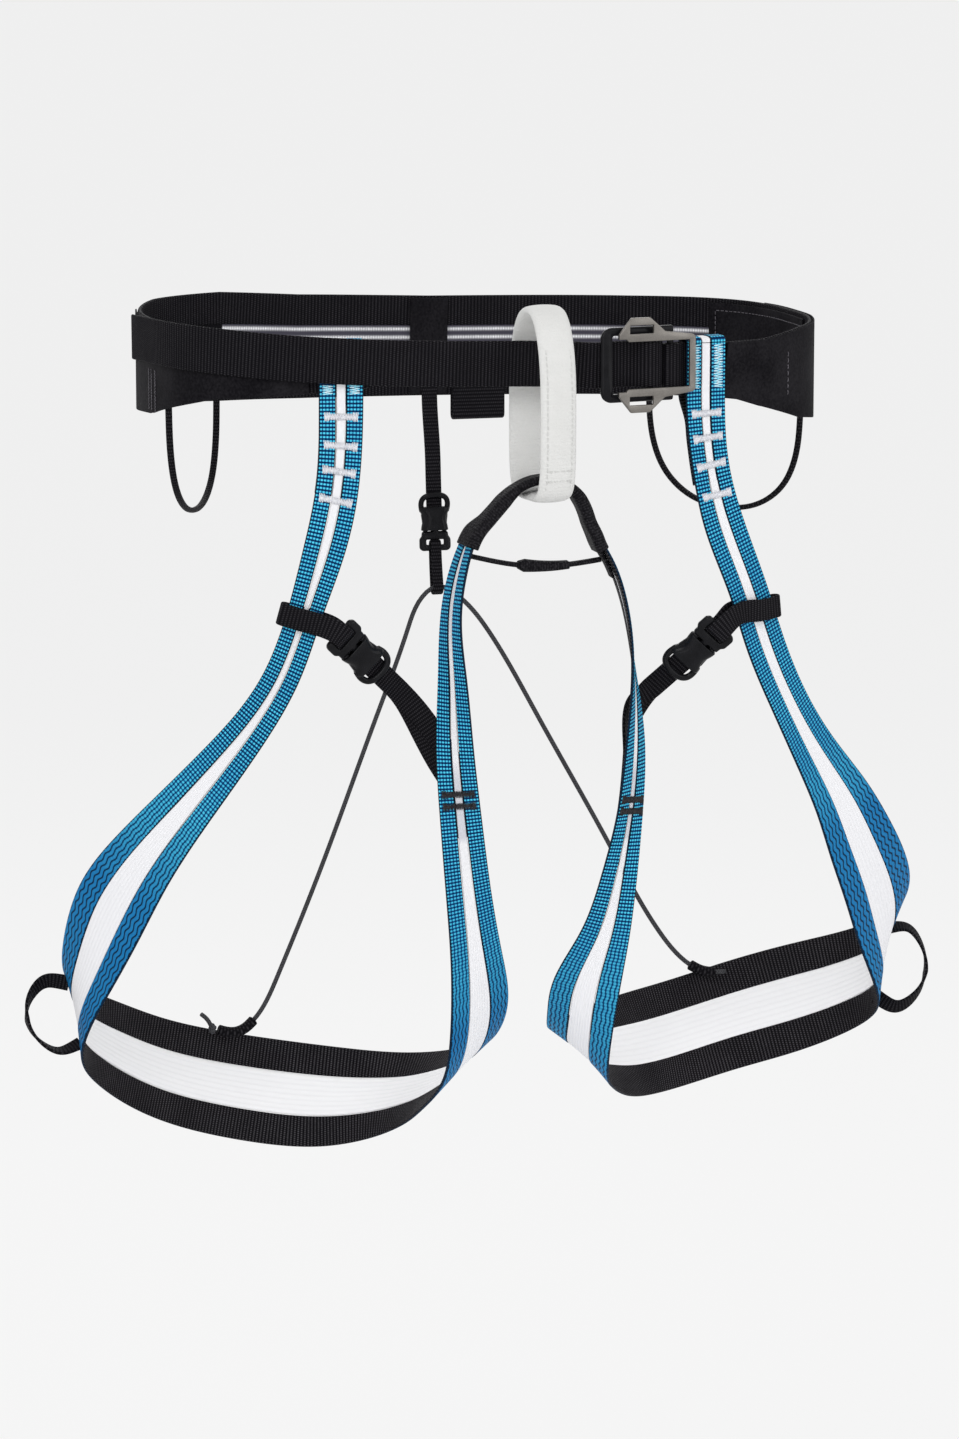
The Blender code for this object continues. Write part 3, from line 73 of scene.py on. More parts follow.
# Points along lines and columns round profiles
SPLINE_PER_KNOT = 40
SPLINE_PER_POINT = 4
RING_POINTS = 20001
RING_STEP = 0.002
LEG_POINTS = 640
BELT_POINTS = 1600
CLOTH_POINTS = 160
STRAP_ROUTE_POINTS = 62
STRAP_EVEN_POINTS = 120
STRAP_POINTS = 2000
ANCHOR_POINTS = 500
ANCHOR_SEAM_POINTS = 8
ANCHOR_CORNER_POINTS = 5
LIMB_POINTS = 240
TIE_POINTS = 90
LOOP_TURN_POINTS = 17
SEAM_POINTS = 60
SLEEVE_FACES = 7
THREAD_SIDES = 5
ZIGZAG_POINTS = 4
STITCH_POINTS = 5

# Small forms of surfaces: a sleeve's lip and a stitch's visible stretch, in shares
SLEEVE_LIP = 0.6
SLEEVE_LIP_REACH = 0.3
STITCH_SPAN = (0.17, 0.83)

# Rounding of rigid copies
MERGE_DISTANCE = 1e-6
FLAT_ANGLE = math.radians(1)
BEVEL_ANGLE = math.radians(20)
BEVEL_SEGMENTS = 3
CREASE_ANGLE = math.radians(32)
PLATE_ROUND = 0.0004
BASE_ROUND = 0.0011

# Waist ring
WAIST_HALF_WIDTH = 0.150
WAIST_HALF_DEPTH = 0.082
WAIST_SQUARENESS = 3.0
BELT_THICKNESS = 0.002
BELT_FACE = BELT_THICKNESS / 2
BELT_LEFT_END = -0.070
BELT_RIGHT_END = 0.0735
STRIPES_START = 0.2500
STRIPES_END = 0.4975
COVER_THICKNESS = 0.0008
COVER_BESIDE_LEFT_RISER = 0.004
COVER_BESIDE_RIGHT_RISER = 0.001
COVER_PAST_STRAP = 0.006
COVER_RIGHT_END = 0.232
PATCH_THICKNESS = 0.0008
PATCH_INSET = 0.001
LABEL_PATCH = (0.176, 0.262)
LABEL_PATCH_INSET = 0.002
LABEL_PATCH_SHARE = 0.55
REAR_PATCH_HALF_WIDTH = 0.0088

# Split webbing
STRIP_BASE_WIDTH = 0.0027
STRIP_SHARE = 0.2424
STRIP_THICKNESS = 0.0015
PANEL_THICKNESS = 0.001
SPREAD_FROM = 0.0073
SPREAD_RANGE = 0.005
# Painted shade on the white panels: distance from the leg webbing's end and share, greyer where the inner
# strap lies behind and near the bridge
PANEL_PAINTED_SHADE_RUN = (-0.139, -0.137, -0.108, -0.100, -0.055, -0.040)
PANEL_PAINTED_SHADE = (0.0, 1.0, 1.0, 0.0, 0.0, 0.6)

# Risers
RISER_LEFT = -0.0832
RISER_RIGHT = 0.0810
RISER_WIDTH = 0.019
RISER_EASE = 0.0004
RISER_LIFT = 0.0005
RISER_ARCH_START = 0.0008
RISER_ARCH = 0.0011
RISER_ARCH_SQUARENESS = 2.6
RISER_ARCH_POINTS = 13
RISER_END_POINTS = 6
RISER_HANG = 0.004
RISER_BACKING_START = 0.012
RISER_BACKING_END = -0.044

# Front strap and waist buckle
FRONT_STRAP_WIDTH = 0.020
FRONT_STRAP_THICKNESS = 0.0015
STRAP_EASE = 0.0003
STRAP_START = -0.222
STRAP_TAIL_LENGTH = 0.024
STRAP_BAR_CLEAR = 0.002
STRAP_CLIMB = 0.0070
STRAP_CLIMB_SHARE = 0.3
STRAP_CREST_HALF = 0.0016
STRAP_CREST_RISE = 0.0006
STRAP_FOLD_REACH = 0.0036
STRAP_FOLD_BULGE = 0.0003
STRAP_FOLD_RETURN = 0.002
STRAP_RETURN = 0.006
ANCHOR_THICKNESS = 0.0014
ANCHOR_HALF_HEIGHT = 0.0104
ANCHOR_BELOW_BUCKLE = 0.0019
ANCHOR_SEAM_END = 0.0083
ANCHOR_CORNER = 0.00115
ANCHOR_LIMB = BELT_FACE + GAP + ANCHOR_THICKNESS / 2
BUCKLE_HINGE = 0.0731
BUCKLE_OUT = 0.0067
BUCKLE_HEIGHT = 0.009
PLATE_THICKNESS = 0.0018
PLATE_RIGHT = 0.0218
PLATE_BAR = 0.0029
BASE_THICKNESS = 0.0024
BASE_LEFT = -0.022
BASE_RIGHT = 0.013
BASE_SIDE_BAR = 0.0055
BASE_END_BAR = 0.003
BASE_CROSS_BAR = 0.004
BASE_CROSS_PLACE = 0.0015

# Leg straps and side-release buckles
LEG_STRAP_WIDTH = 0.010
LEG_STRAP_THICKNESS = 0.0014
STRAP_LOOP_HALF_GAP = 0.0022
STRAP_BAR_EASE = 0.0005
STRAP_FOLD_EASE = 0.0006
STRAP_LOOP_RISE = 0.0068
STRAP_LOOP_EASE = 0.0014
STRAP_ROUND_BAR = (0.0013, -0.0012)
TIE_GAP_PLACES = (0.0, 0.4, 0.7, 1.0)
STRAP_JOIN_EASE = 0.0003
STRAP_END_CLEAR = 0.0011
STRAP_PASS_DEPTH = 0.0040
STRAP_STRAIGHT_SPARE = 0.002
STRAP_STRAIGHT_POINTS = 8
STRAP_JOIN_HEIGHTS = (-0.172, -0.180, -0.188)
CLIP_CAVITY_END = 0.0205
CLIP_END = 0.0288
CLIP_TRAVEL = 0.010
PLUG_BAR_THICKNESS = 0.002
CLIP_HALF_WIDTH = 0.0085
STRAP_FAN_DROP = 0.011
STRAP_FAN_DEPTH = 0.0008
CLIP_BARREL = [(0.0095, 0.0076, 0.0068), (0.0112, 0.0074, 0.0070), (0.0148, 0.0067, 0.0076),
               (0.0182, 0.0074, 0.0076), (0.0204, 0.0084, 0.0072), (0.0216, 0.0084, 0.0068)]
BARREL_WALL = 0.0011
CLIP_RING = [(0.0196, 0.0068, 0.0), (0.0234, 0.0074, 0.0004), (0.0262, 0.0066, 0.0010),
             (0.0279, 0.0042, 0.0017), (0.0285, 0.0, 0.0020)]
CLIP_RING_RADIUS = 0.0015
BARREL_POINTS = 48
CLIP_RING_POINTS = 72
CLIP_RING_SIDES = 12
MOULD_VOXEL = 0.00032
MOULD_PASSES = 22
MOULD_SWELL = 0.00035
MOULD_CROWN = (1.18, 0.42)
SIDE_LOOP_WIDTH = 0.007
SIDE_LOOP_POINTS = 150
SIDE_LOOP_LEAN = math.radians(65)
SIDE_LOOP_REACH = 0.022
SIDE_LOOP_SHAPE = [(0.03, 0.0), (-0.02, 0.2), (-0.05, 0.45), (0.1, 0.78), (0.32, 0.96), (0.5, 1.0),
                   (0.68, 0.96), (0.9, 0.78), (1.05, 0.45), (1.02, 0.2), (0.97, 0.0)]
LEFT_SIDE_LOOP_FEET = (0.0255, 0.0405)
RIGHT_SIDE_LOOP_FEET = (0.0216, 0.0323)

# Bridge and its keeper
BRIDGE_WIDTH = 0.008
BRIDGE_THICKNESS = 0.0013
BRIDGE_EASE = 0.0002
BRIDGE_POINTS = 220
SHEATH_POINTS = 150
BRIDGE_TAILS = (0.017, 0.009, 0.001)
SHEATH_WALL = 0.0010
SHEATH_LAP = 0.0035
SHEATH_CUFF = 0.002
SHEATH_TAPER = 0.009
SHEATH_CUFF_EASE = 0.0002
SHEATH_FULLNESS = 0.0019
SHEATH_LOOP_HALF = 0.011
KEEPER_WIDTH = 0.004
KEEPER_THICKNESS = 0.0014
KEEPER_CLOTH = 0.0021
KEEPER_PLACE = 0.0075
KEEPER_EASE = 0.0008
KEEPER_SAG = 0.003
KEEPER_SAG_SHARE = 0.3
KEEPER_POINTS = 97
KEEPER_FOLD = slice(36, 73)
KEEPER_FOLD_SWELL = [(0, 1.0), (4, 2.1), (14, 1.7), (36, 1.0)]
KEEPER_FOLD_WALL = 0.0008

# Belay loop
BELAY_WIDTH = 0.017
BELAY_THICKNESS = 0.0045
BELAY_HEIGHT = 0.0858
BELAY_DEPTH = 0.0375
BELAY_TOP = 0.0364
BELAY_X = 0.0055
BELAY_Y = -0.0855
BELAY_TWIST = math.radians(8)
BELAY_TOP_SQUARENESS = 2.3
BELAY_FOOT_SQUARENESS = 5.0
BELAY_KNOTS = 48
BELAY_POINTS = 180
BELAY_SEAM_POINTS = 40
BELAY_CROWN = 0.4
BELAY_FRONT_SHARE = 0.36
BELAY_SEAM_SHARE = 0.68
BELAY_SEAM_PITCH = 0.0026
BELAY_FOOT_SEAMS = (0.004, 0.009)

# Gear loops and rear tab
GEAR_TAPE_WIDTH = 0.0031
GEAR_LOOP_THICKNESS = 0.0024
GEAR_LOOP_TUCK = 0.0014
GEAR_LOOP_DROP = 0.047
GEAR_LOOP_BELOW_EDGE = 0.0006
GEAR_LOOP_SHAPE = [(0.0, 0.0), (0.015, 0.30), (0.09, 0.66), (0.28, 0.93), (0.5, 1.0),
                   (0.72, 0.93), (0.91, 0.66), (0.985, 0.30), (1.0, 0.0)]
LEFT_GEAR_LOOP = (-0.170, -0.2925)
RIGHT_GEAR_LOOP = (0.186, 0.291)
REAR_TAB_WIDTH = 0.025
REAR_TAB_DROP = 0.0105
REAR_TAB_LIMB = 0.010
REAR_TAB_BESIDE_MIDDLE = 0.024
TAB_TURN_POINTS = 15
TAB_LIMB_POINTS = 24

# Rear strap and elastic cord
REAR_STRAP_WIDTH = 0.0075
REAR_STRAP_TOP = -0.008
REAR_STRAP_STRAIGHT = -0.050
REAR_STRAP_BELOW_BELT = 0.002
REAR_STRAP_STANDOFF = 0.004
REAR_CLIP_PLUG = (0.0, 69.5, -92.5)
REAR_CORD_PLACE = (0.0, 66.5, -110.4)
REAR_LOOP_WIDTH = 0.005
REAR_LOOP_EASE = 0.0010
REAR_ROUND_BAR = (0.0013, -0.004)
REAR_STRAIGHT_POINTS = 6
REAR_STRAP_POINTS = 160
REAR_LOOP_POINTS = 40
REAR_CLIP_SCALE = 0.86
CORD_DIAMETER = 0.0022
CORD_POINTS = 160
CORD_SIDES = 10
CORD_SLEEVE_WALL = 0.0011
SLEEVE_ROUTE_POINTS = 80
SLEEVE_POINTS = 12
LEFT_SLEEVE = slice(0, 4)
RIGHT_SLEEVE = slice(-4, -1)
KNOT_DIAMETER = 0.0055
KNOT_POINTS = 90
KNOT_TAIL_POINTS = 24
KNOT_CORD_RADIUS = CORD_DIAMETER * 0.46
KNOT_LENGTH_SHARE = 1.2
KNOT_TAIL = (-5.5, -1.0, 7.5)
KNOT_TAIL_BEND = 0.0012

# Sewing: distances along the webbing, negative from its end, and places on the belt
BARTACK_WIDTH = 0.0146
BARTACK_HEIGHT = 0.0029
BARTACK_PITCH = 0.0007
BARTACK_END = 0.34
BARTACK_END_SWING = 1.35
LEFT_BARTACKS = (0.0308, 0.0434, 0.0545, 0.0671)
RIGHT_BARTACKS = (0.0310, 0.0418, 0.0539, 0.0674)
LEFT_STRAP_TACKS = (-0.1155, -0.1211)
RIGHT_STRAP_TACKS = (-0.1197, -0.1251)
LEFT_TACK = 0.0190
RIGHT_TACK = 0.0102
TACK_LENGTH = 0.0040
RIGHT_TACK_LENGTH = 0.0190
TACK_WIDTH = 0.0044
TACK_PITCH = 0.0011
SEAM_PITCH = 0.0014
SEAM_SWING = 0.0010
LEFT_COVER_SEAMS = (-0.1905, -0.1860, -0.1805)
LEFT_SEAM_MIDDLE = -0.004
LEFT_SEAM_HEIGHT = 0.018
RIGHT_COVER_SEAM = 0.128
RIGHT_SEAM = (0.010, -0.010)
LABEL_SEAM_INSET = 0.0035
LABEL_SEAM_PITCH = 0.0023
LABEL_SEAM_DROP = 0.014
LABEL_SEAM_POINTS = 80
LABEL_DROP_POINTS = 30

# Weave: nominal width of a blue strip, pitches of the knits and turns of the cord's braid
STRIP_NOMINAL_WIDTH = 0.014
PANEL_KNIT = 0.0011
BELT_KNIT = 0.0012
BRAID_PITCH = 0.0052
BRAID_YARNS = 4.0

# Woven checks and ribs: sway and fade where webbing spreads, roundness, ranges, or scale and start
CHECK_SWAY = 0.2
CHECK_FADE = (-0.95, 1.0)
CHECK_ROUNDNESS = 0.8
CHECK_THREAD = (0.2, 0.8)
RIB_LEAN = 0.5
RIB_STITCH = (0.3, 0.7)
RIB_SHARPNESS = 3.0
WAVE = (0.5, 0.5)

# Uneven tone: detail and share of the coarse and the fine noise, and the range that is spread out
COARSE_NOISE = (3.0, 0.55)
FINE_NOISE = (2.0, 0.45)
NOISE_RANGE = (0.3, 0.7)

# Ranges that part a strap's faces, and details of single finishes: powers, shares, pitches, scale and start
INSIDE = (-0.3, 0.3)
OUTSIDE = (-0.5, 0.1)
BLUE_SPREAD_DULL = (-0.85, 1.0)
BLUE_FILL = (0.0, 0.4)
BLUE_SPREAD_FILL = (0.3, 0.8)
BLUE_RIM_NOTCH = 0.00035
BLUE_RIM = (0.0005, 0.0010)
CHANNEL_POWER = 0.4
# Painted shade of a white panel's channels: scale and start of its share of plain white
CHANNEL_SHADE = (0.15, 0.85)
CHANNEL_RELIEF_POWER = 2.5
KNIT_RELIEF = 0.01
# Painted shade where a strap lies behind a white panel: scale and start
BACKED_SHADE = (-0.7, 1.0)
FABRIC_PITCH = 0.0007
PEBBLE_SCALE = 1100.0
PEBBLE_RIBS = 0.4
PEBBLE_RANGE = (0.6, 1.3)
PEBBLE_HIGHLIGHT = 0.6
SHEATH_RIBS = (0.0012, 0.0010)
STRIPE_POWER = 5.0
STRIPE_DOTS = (0.2, 0.8)
STRIPED_RANGE = (0.2, 0.8)
TAPE_RIBS = (0.0014, 0.0011)
TAPE_RIB_SHARE = 0.4
BRAID_RANGE = (-0.2, 1.0)
SILVER_ROUGHNESS = (0.52, 0.42)
PLASTIC_ROUGHNESS = (0.12, 0.20)

# Tone of each finish: scale of the coarse and the fine noise, lowest and highest value
TONES = {
    "black_webbing": (60.0, 900.0, 0.55, 1.0),
    "blue_webbing": (25.0, 700.0, 0.6, 1.0),
    "white_panel": (30.0, 1200.0, 0.98, 1.0),
    "black_fabric": (40.0, 900.0, 0.0, 0.35),
    "striped_panel": (50.0, 1000.0, 0.7, 1.0),
    "loop_tape": (90.0, 1500.0, 0.7, 1.0),
    "cord": (80.0, 1500.0, 0.5, 1.0),
    "silver": (120.0, 2500.0, 0.0, 1.0),
    "plastic": (150.0, 3000.0, 0.0, 1.0),
    "thread": (900.0, 4000.0, 0.0, 1.0),
}

# Relief of each finish: depth and strength of its bumps
RELIEFS = {
    "black_webbing": (0.0003, 0.8),
    "blue_webbing": (0.0004, 1.0),
    "white_panel": (0.00025, 0.5),
    "black_fabric": (0.00015, 0.6),
    "crinkled_cloth": (0.0004, 0.8),
    "striped_panel": (0.0003, 0.7),
    "loop_tape": (0.0004, 0.6),
    "cord": (0.0002, 0.6),
    "silver": (0.00006, 0.5),
    "plastic": (0.00005, 0.4),
    "thread": (0.0001, 0.5),
}

# Stage: camera and lamps, each lamp with its place, size and share of the main lamp's power
CAMERA_AIM = Vector((0.0015, 0.0, -0.1615))
SENSOR_WIDTH = 36.0
VIEW_END = 60.0
FLOOR_EDGE = 30.0
FLOOR_ROUGHNESS = 0.9
FLOOR_GLOW = 0.8
LAMPS = (
    ("key_lamp", (-1.3, -1.7, 1.5), 1.4, 1.0),
    ("fill_lamp", (1.7, -1.5, 0.5), 1.6, 0.5),
    ("low_lamp", (-0.6, -2.2, -0.7), 1.6, 0.4),
    ("back_lamp", (0.4, 1.9, 1.2), 1.2, 0.5),
)

# Belt edges along the ring: distance, top height, bottom height, in millimetres
BELT_EDGES = [
    (-404, 23.4, -23), (-340, 26, -22), (-300, 29, -21), (-258, 29, -19), (-230, 27, -17.5),
    (-195, 26.5, -15), (-163, 26.8, -8.2), (-143, 26.5, -3.8), (-110, 23.5, -1.3), (-72, 18.5, 2),
    (0, 18, -2), (72, 16.4, -4.6), (90, 16.4, -5.8), (115, 16.4, -13.4), (143, 19.6, -21), (178, 21, -25.4),
    (234, 20.7, -25.8), (306, 21.4, -25), (404, 23.4, -23),
]

# Front strap: distance along the ring, offset out of the ring, height of the middle, in millimetres
FRONT_STRAP_ROUTE = [
    (-222, 3.3, 15.4), (-190, 3.3, 17.8), (-150, 3.3, 18.2), (-118, 3.4, 16.4),
    (-100, 4.7, 15.2), (-76, 4.7, 13.8), (-40, 3.2, 12.0), (0, 1.0, 10.6), (16, 0.2, 9.8),
]

# Leg webbing: both edges, from below the belt, round the thigh and up to the bridge, in millimetres
LEFT_LEG_ROUTE = [
    ((-96, -83, -41), (-78, -86, -45)),
    ((-102, -84, -67), (-85, -88, -71)),
    ((-108, -82.5, -91), (-94, -88, -95)),
    ((-118, -77, -121), (-104.5, -85, -125)),
    ((-139, -64, -153), (-126, -76, -164)),
    ((-161, -46, -181), (-145, -65, -195)),
    ((-178, -26, -206), (-157, -52, -220)),
    ((-187, -6, -229), (-166, -41, -243)),
    ((-190, 11, -256), (-177, -29, -269)),
    ((-185, 27, -276), (-186, -12, -297)),
    ((-163, 45, -291), (-174, 18, -324)),
    ((-134, 56, -305), (-144, 39, -347)),
    ((-93, 61, -317), (-100, 50, -364)),
    ((-54, 57, -324), (-63, 43, -368)),
    ((-24, 40, -325), (-38, 16, -356)),
    ((-4, 12, -318), (-31, -20, -336)),
    ((3, -18, -305), (-29, -47, -317)),
    ((2, -44, -282), (-30, -63, -292)),
    ((-6, -62, -256), (-32, -71, -260)),
    ((-15, -76, -224), (-36, -77, -225)),
    ((-22, -86, -190), (-40, -82, -191)),
    ((-27.8, -93, -156), (-42, -83, -157)),
    ((-32.2, -97, -124), (-41.2, -83.6, -126)),
    ((-34.8, -98, -96), (-39.2, -82, -97)),
    ((-30, -95, -72), (-33, -80, -74)),
    ((-27, -93.5, -63), (-29.5, -80.8, -65)),
]
RIGHT_LEG_ROUTE = [
    ((93, -82, -40), (75, -86, -43)),
    ((100, -82, -64), (80, -87, -65)),
    ((111, -80, -92), (91, -87, -93)),
    ((121, -76, -118), (101, -84, -120)),
    ((134, -69, -144), (114, -79, -147)),
    ((152, -58, -169), (129, -71, -175)),
    ((172, -45, -192), (142, -63, -200)),
    ((189, -30, -214), (153, -53, -224)),
    ((203, -13, -234), (164, -43, -247)),
    ((212, 5, -252), (177, -29, -274)),
    ((211, 24, -268), (192, -10, -301)),
    ((200, 41, -279), (195, 15, -319)),
    ((176, 55, -288), (170, 36, -336)),
    ((146, 61, -296), (141, 47, -346)),
    ((117, 57, -302), (110, 40, -351)),
    ((86, 43, -305), (79, 12, -346)),
    ((54, 18, -306), (61, -16, -334)),
    ((31, -14, -304), (50, -43, -319)),
    ((22, -40, -290), (47, -59, -298)),
    ((20, -57, -271), (48, -68, -273)),
    ((28, -71, -247), (50, -75, -248)),
    ((35, -80, -219), (52, -79, -220)),
    ((40, -88, -188), (54, -80, -190)),
    ((42, -94, -156), (54, -81, -158)),
    ((43.4, -97.6, -125), (49.6, -80.4, -127)),
    ((40.8, -97.5, -96), (44.2, -79.5, -98)),
    ((34.8, -95.4, -76), (36.7, -79.6, -78)),
    ((30, -93.8, -67), (31.5, -80.4, -69)),
]

# Bridge webbing: middle line between the two inner leg straps, in millimetres
BRIDGE_ROUTE = [
    (-16.5, -86.5, -53.0), (-6, -86, -43.2), (5.5, -86, -39.8), (16, -86, -42.6), (24, -86.5, -53),
]

# Leg buckles: the plug's bar and the far end, and the height where the strap passes the inner webbing's edge
LEFT_CLIP = [(-86.6, -89.6, -103.8), (-66.9, -80.3, -122.7)]
LEFT_STRAP_PASS = -0.156
RIGHT_CLIP = [(86.0, -89.0, -109.4), (68.4, -78.5, -128.1)]
RIGHT_STRAP_PASS = -0.145

# Elastic cord: left end, rear strap and right end, in millimetres
CORD_ROUTE = [
    (-108.5, 55.0, -312.0), (-99.5, 54.8, -313.4), (-93, 56.0, -310.0), (-79, 62, -291), (-57, 67, -243),
    (-29.5, 66.5, -171), (-14, 66.5, -129.6), (-6.5, 66.5, -114.4), (0, 66.5, -110.4), (8, 66.5, -113.6),
    (24, 67, -131), (48.5, 67, -173), (85.5, 67, -239.5), (108.5, 62, -281), (118.5, 57, -293.5),
    (127, 54.8, -298.8), (139, 55.0, -300),
]


# Lines and places


def run_along(points):
    """Distance travelled at each point of a line."""
    return np.concatenate([[0.0], np.cumsum(np.linalg.norm(np.diff(points, axis=0), axis=1))])


def read_rows(where, run, rows):
    """Rows of numbers at distances along a run, by straight lines between the given ones."""
    return np.stack([np.interp(where, run, column) for column in rows.T], axis=-1)


def squared(values, power):
    """A sine or a cosine to a power with its sign kept: a power below one squares a round."""
    return np.sign(values) * np.abs(values) ** power


def smooth(points, count):
    """Read count points, evenly spaced, from a natural cubic spline through the given ones."""
    knots = np.asarray(points, float)
    flat = knots.reshape(len(knots), -1)
    step = np.linalg.norm(np.diff(flat, axis=0), axis=1)
    at = run_along(flat)
    size = len(at)
    system = np.eye(size)
    inner = np.arange(1, size - 1)
    system[inner, inner - 1] = step[:-1]
    system[inner, inner] = 2 * (step[:-1] + step[1:])
    system[inner, inner + 1] = step[1:]
    slopes = np.diff(flat, axis=0) / step[:, None]
    right = np.zeros_like(flat)
    right[1:-1] = 6 * np.diff(slopes, axis=0)
    bend = np.linalg.solve(system, right)
    where = np.linspace(0, at[-1], max(SPLINE_PER_KNOT * size, SPLINE_PER_POINT * count))
    i = np.clip(np.searchsorted(at, where) - 1, 0, size - 2)
    a = ((at[i + 1] - where) / step[i])[:, None]
    b = 1 - a
    curve = (a ** 3 - a) * bend[i] + (b ** 3 - b) * bend[i + 1]
    fine = a * flat[i] + b * flat[i + 1] + curve * step[i][:, None] ** 2 / 6
    run = run_along(fine)
    return read_rows(np.linspace(0, run[-1], count), run, fine).reshape((count,) + knots.shape[1:])


def unit(vectors):
    """Scale each vector to length one."""
    vectors = np.asarray(vectors, float)
    return vectors / np.linalg.norm(vectors, axis=-1, keepdims=True)


def tangents(points, closed=False):
    """Direction of travel at each point of a line."""
    if closed:
        return unit(np.roll(points, -1, axis=0) - np.roll(points, 1, axis=0))
    return unit(np.gradient(points, axis=0))


class WaistRing:
    """The belt's middle line in plan: a flattened oval, addressed by distance from its front middle."""

    def __init__(self):
        angle = np.linspace(-math.pi / 2, 1.5 * math.pi, RING_POINTS)
        power = 2 / WAIST_SQUARENESS
        self.line = np.stack([WAIST_HALF_WIDTH * squared(np.cos(angle), power),
                              WAIST_HALF_DEPTH * squared(np.sin(angle), power)], axis=1)
        self.run = run_along(self.line)
        self.length = self.run[-1]

    def plan(self, distance):
        """Point of the ring in plan."""
        return read_rows(np.asarray(distance, float) % self.length, self.run, self.line)

    def along(self, distance):
        """Direction of growing distance in plan."""
        distance = np.asarray(distance)
        return unit(self.plan(distance + RING_STEP) - self.plan(distance - RING_STEP))

    def outward(self, distance):
        """Direction out of the ring."""
        along = self.along(distance)
        return np.stack([along[..., 1], -along[..., 0], np.zeros(along.shape[:-1])], axis=-1)

    def point(self, distance, out, height):
        """Point at an offset out of the ring and a height."""
        outward = self.outward(distance)
        flat = self.plan(distance) + np.asarray(out)[..., None] * outward[..., :2]
        return np.concatenate([flat, np.broadcast_to(height, flat.shape[:-1])[..., None]], axis=-1)


RING = WaistRing()
HALF_RING = RING.length / 2
BELT_TABLE = np.array(BELT_EDGES) * MM


def belt_edge(distance, edge):
    """Height of the belt's top (1) or bottom (2) edge; the table spans half a turn each way."""
    share = np.asarray(distance) / HALF_RING * BELT_TABLE[-1, 0]
    return np.interp(share, BELT_TABLE[:, 0], BELT_TABLE[:, edge])


class Band:
    """Split webbing: two edge strips and the panel between them, ruled between two edge lines."""

    def __init__(self, edges, outward_sign):
        self.first = edges[:, 0]
        self.second = edges[:, 1]
        self.middle = (self.first + self.second) / 2
        self.width = np.linalg.norm(self.second - self.first, axis=1)[:, None]
        self.across = unit(self.second - self.first)
        self.normal = outward_sign * unit(np.cross(tangents(self.middle), self.across))
        self.run = run_along(self.middle)
        self.strip = STRIP_BASE_WIDTH + STRIP_SHARE * self.width

    def read(self, values, distance):
        """Rows of values at a distance along the middle line; negative counts from the end."""
        where = np.asarray(distance, float)
        where = np.where(where < 0, self.run[-1] + where, where)
        return read_rows(where, self.run, values)

    def seat(self, distance, depth):
        """Point at a depth behind the middle line, and the direction that the band faces there."""
        normal = unit(self.read(self.normal, distance))
        return self.read(self.middle, distance) - normal * depth, normal

    def face(self, distance, across, lift):
        """Points at places across the middle line and a lift over it."""
        side = unit(self.read(self.across, distance)) * np.asarray(across)[..., None]
        return self.read(self.middle, distance) + side + unit(self.read(self.normal, distance)) * lift

    def distance_at(self, height, inner):
        """Distance along the band where it passes a height, on the riser or on the inner side."""
        lowest = int(np.argmin(self.middle[:, 2]))
        part = slice(lowest, None) if inner else slice(0, lowest + 1)
        heights, run = self.middle[part, 2], self.run[part]
        if not inner:
            heights, run = heights[::-1], run[::-1]
        return float(np.interp(height, heights, run))

    def piece(self, which):
        """Middle line and half width of the first strip, the panel or the second strip."""
        inner_first = self.first + self.across * self.strip
        inner_second = self.second - self.across * self.strip
        clear = self.across * GAP
        start, end = {
            "first": (self.first, inner_first),
            "panel": (inner_first + clear, inner_second - clear),
            "second": (inner_second, self.second),
        }[which]
        return (start + end) / 2, np.linalg.norm(end - start, axis=1)[:, None] / 2


def leg_band(route, riser, seat, sign):
    """Split webbing of one leg: a spline through its edge pairs, from the belt's top edge to the bridge."""
    across = RISER_WIDTH / 2 * sign
    out = np.array(seat + RISER_EASE + STRIP_THICKNESS / 2)
    top = float(belt_edge(riser, 1)) + RISER_LIFT
    bottom = float(belt_edge(riser, 2))
    head = [[RING.point(riser + across, out, height), RING.point(riser - across, out, height)]
            for height in (top, (top + bottom) / 2, bottom - RISER_HANG)]
    edges = smooth(np.concatenate([np.array(head), np.array(route) * MM]), LEG_POINTS)
    return Band(edges, -sign)


LEFT_SEAT = BELT_FACE + GAP
RIGHT_SEAT = ANCHOR_LIMB + ANCHOR_THICKNESS / 2 + GAP
LEFT_BAND = leg_band(LEFT_LEG_ROUTE, RISER_LEFT, LEFT_SEAT, -1)
RIGHT_BAND = leg_band(RIGHT_LEG_ROUTE, RISER_RIGHT, RIGHT_SEAT, 1)


class ClipFrame:
    """Place of one side-release buckle: along its pull, across it and out of it."""

    def __init__(self, bar, far, scale=1.0):
        self.origin = np.array(bar)
        self.scale = scale
        self.along = unit(np.array(far) - self.origin)
        self.out = unit(FORWARD - self.along * np.dot(FORWARD, self.along))
        self.across = np.cross(self.out, self.along)

    def at(self, along, across=0.0, out=0.0):
        """World point of a place in the buckle's own sizes."""
        local = self.along * along + self.across * across + self.out * out
        return self.origin + local * self.scale


def rear_strap_bend():
    """Point below the belt where the rear strap comes off it and runs straight to its buckle."""
    return np.array([0.0, REAR_CLIP_PLUG[1] * MM + REAR_STRAP_STANDOFF, REAR_STRAP_STRAIGHT])


def rear_frame():
    """Place of the rear strap's buckle."""
    return ClipFrame(np.array(REAR_CLIP_PLUG) * MM, rear_strap_bend(), REAR_CLIP_SCALE)


# Surfaces


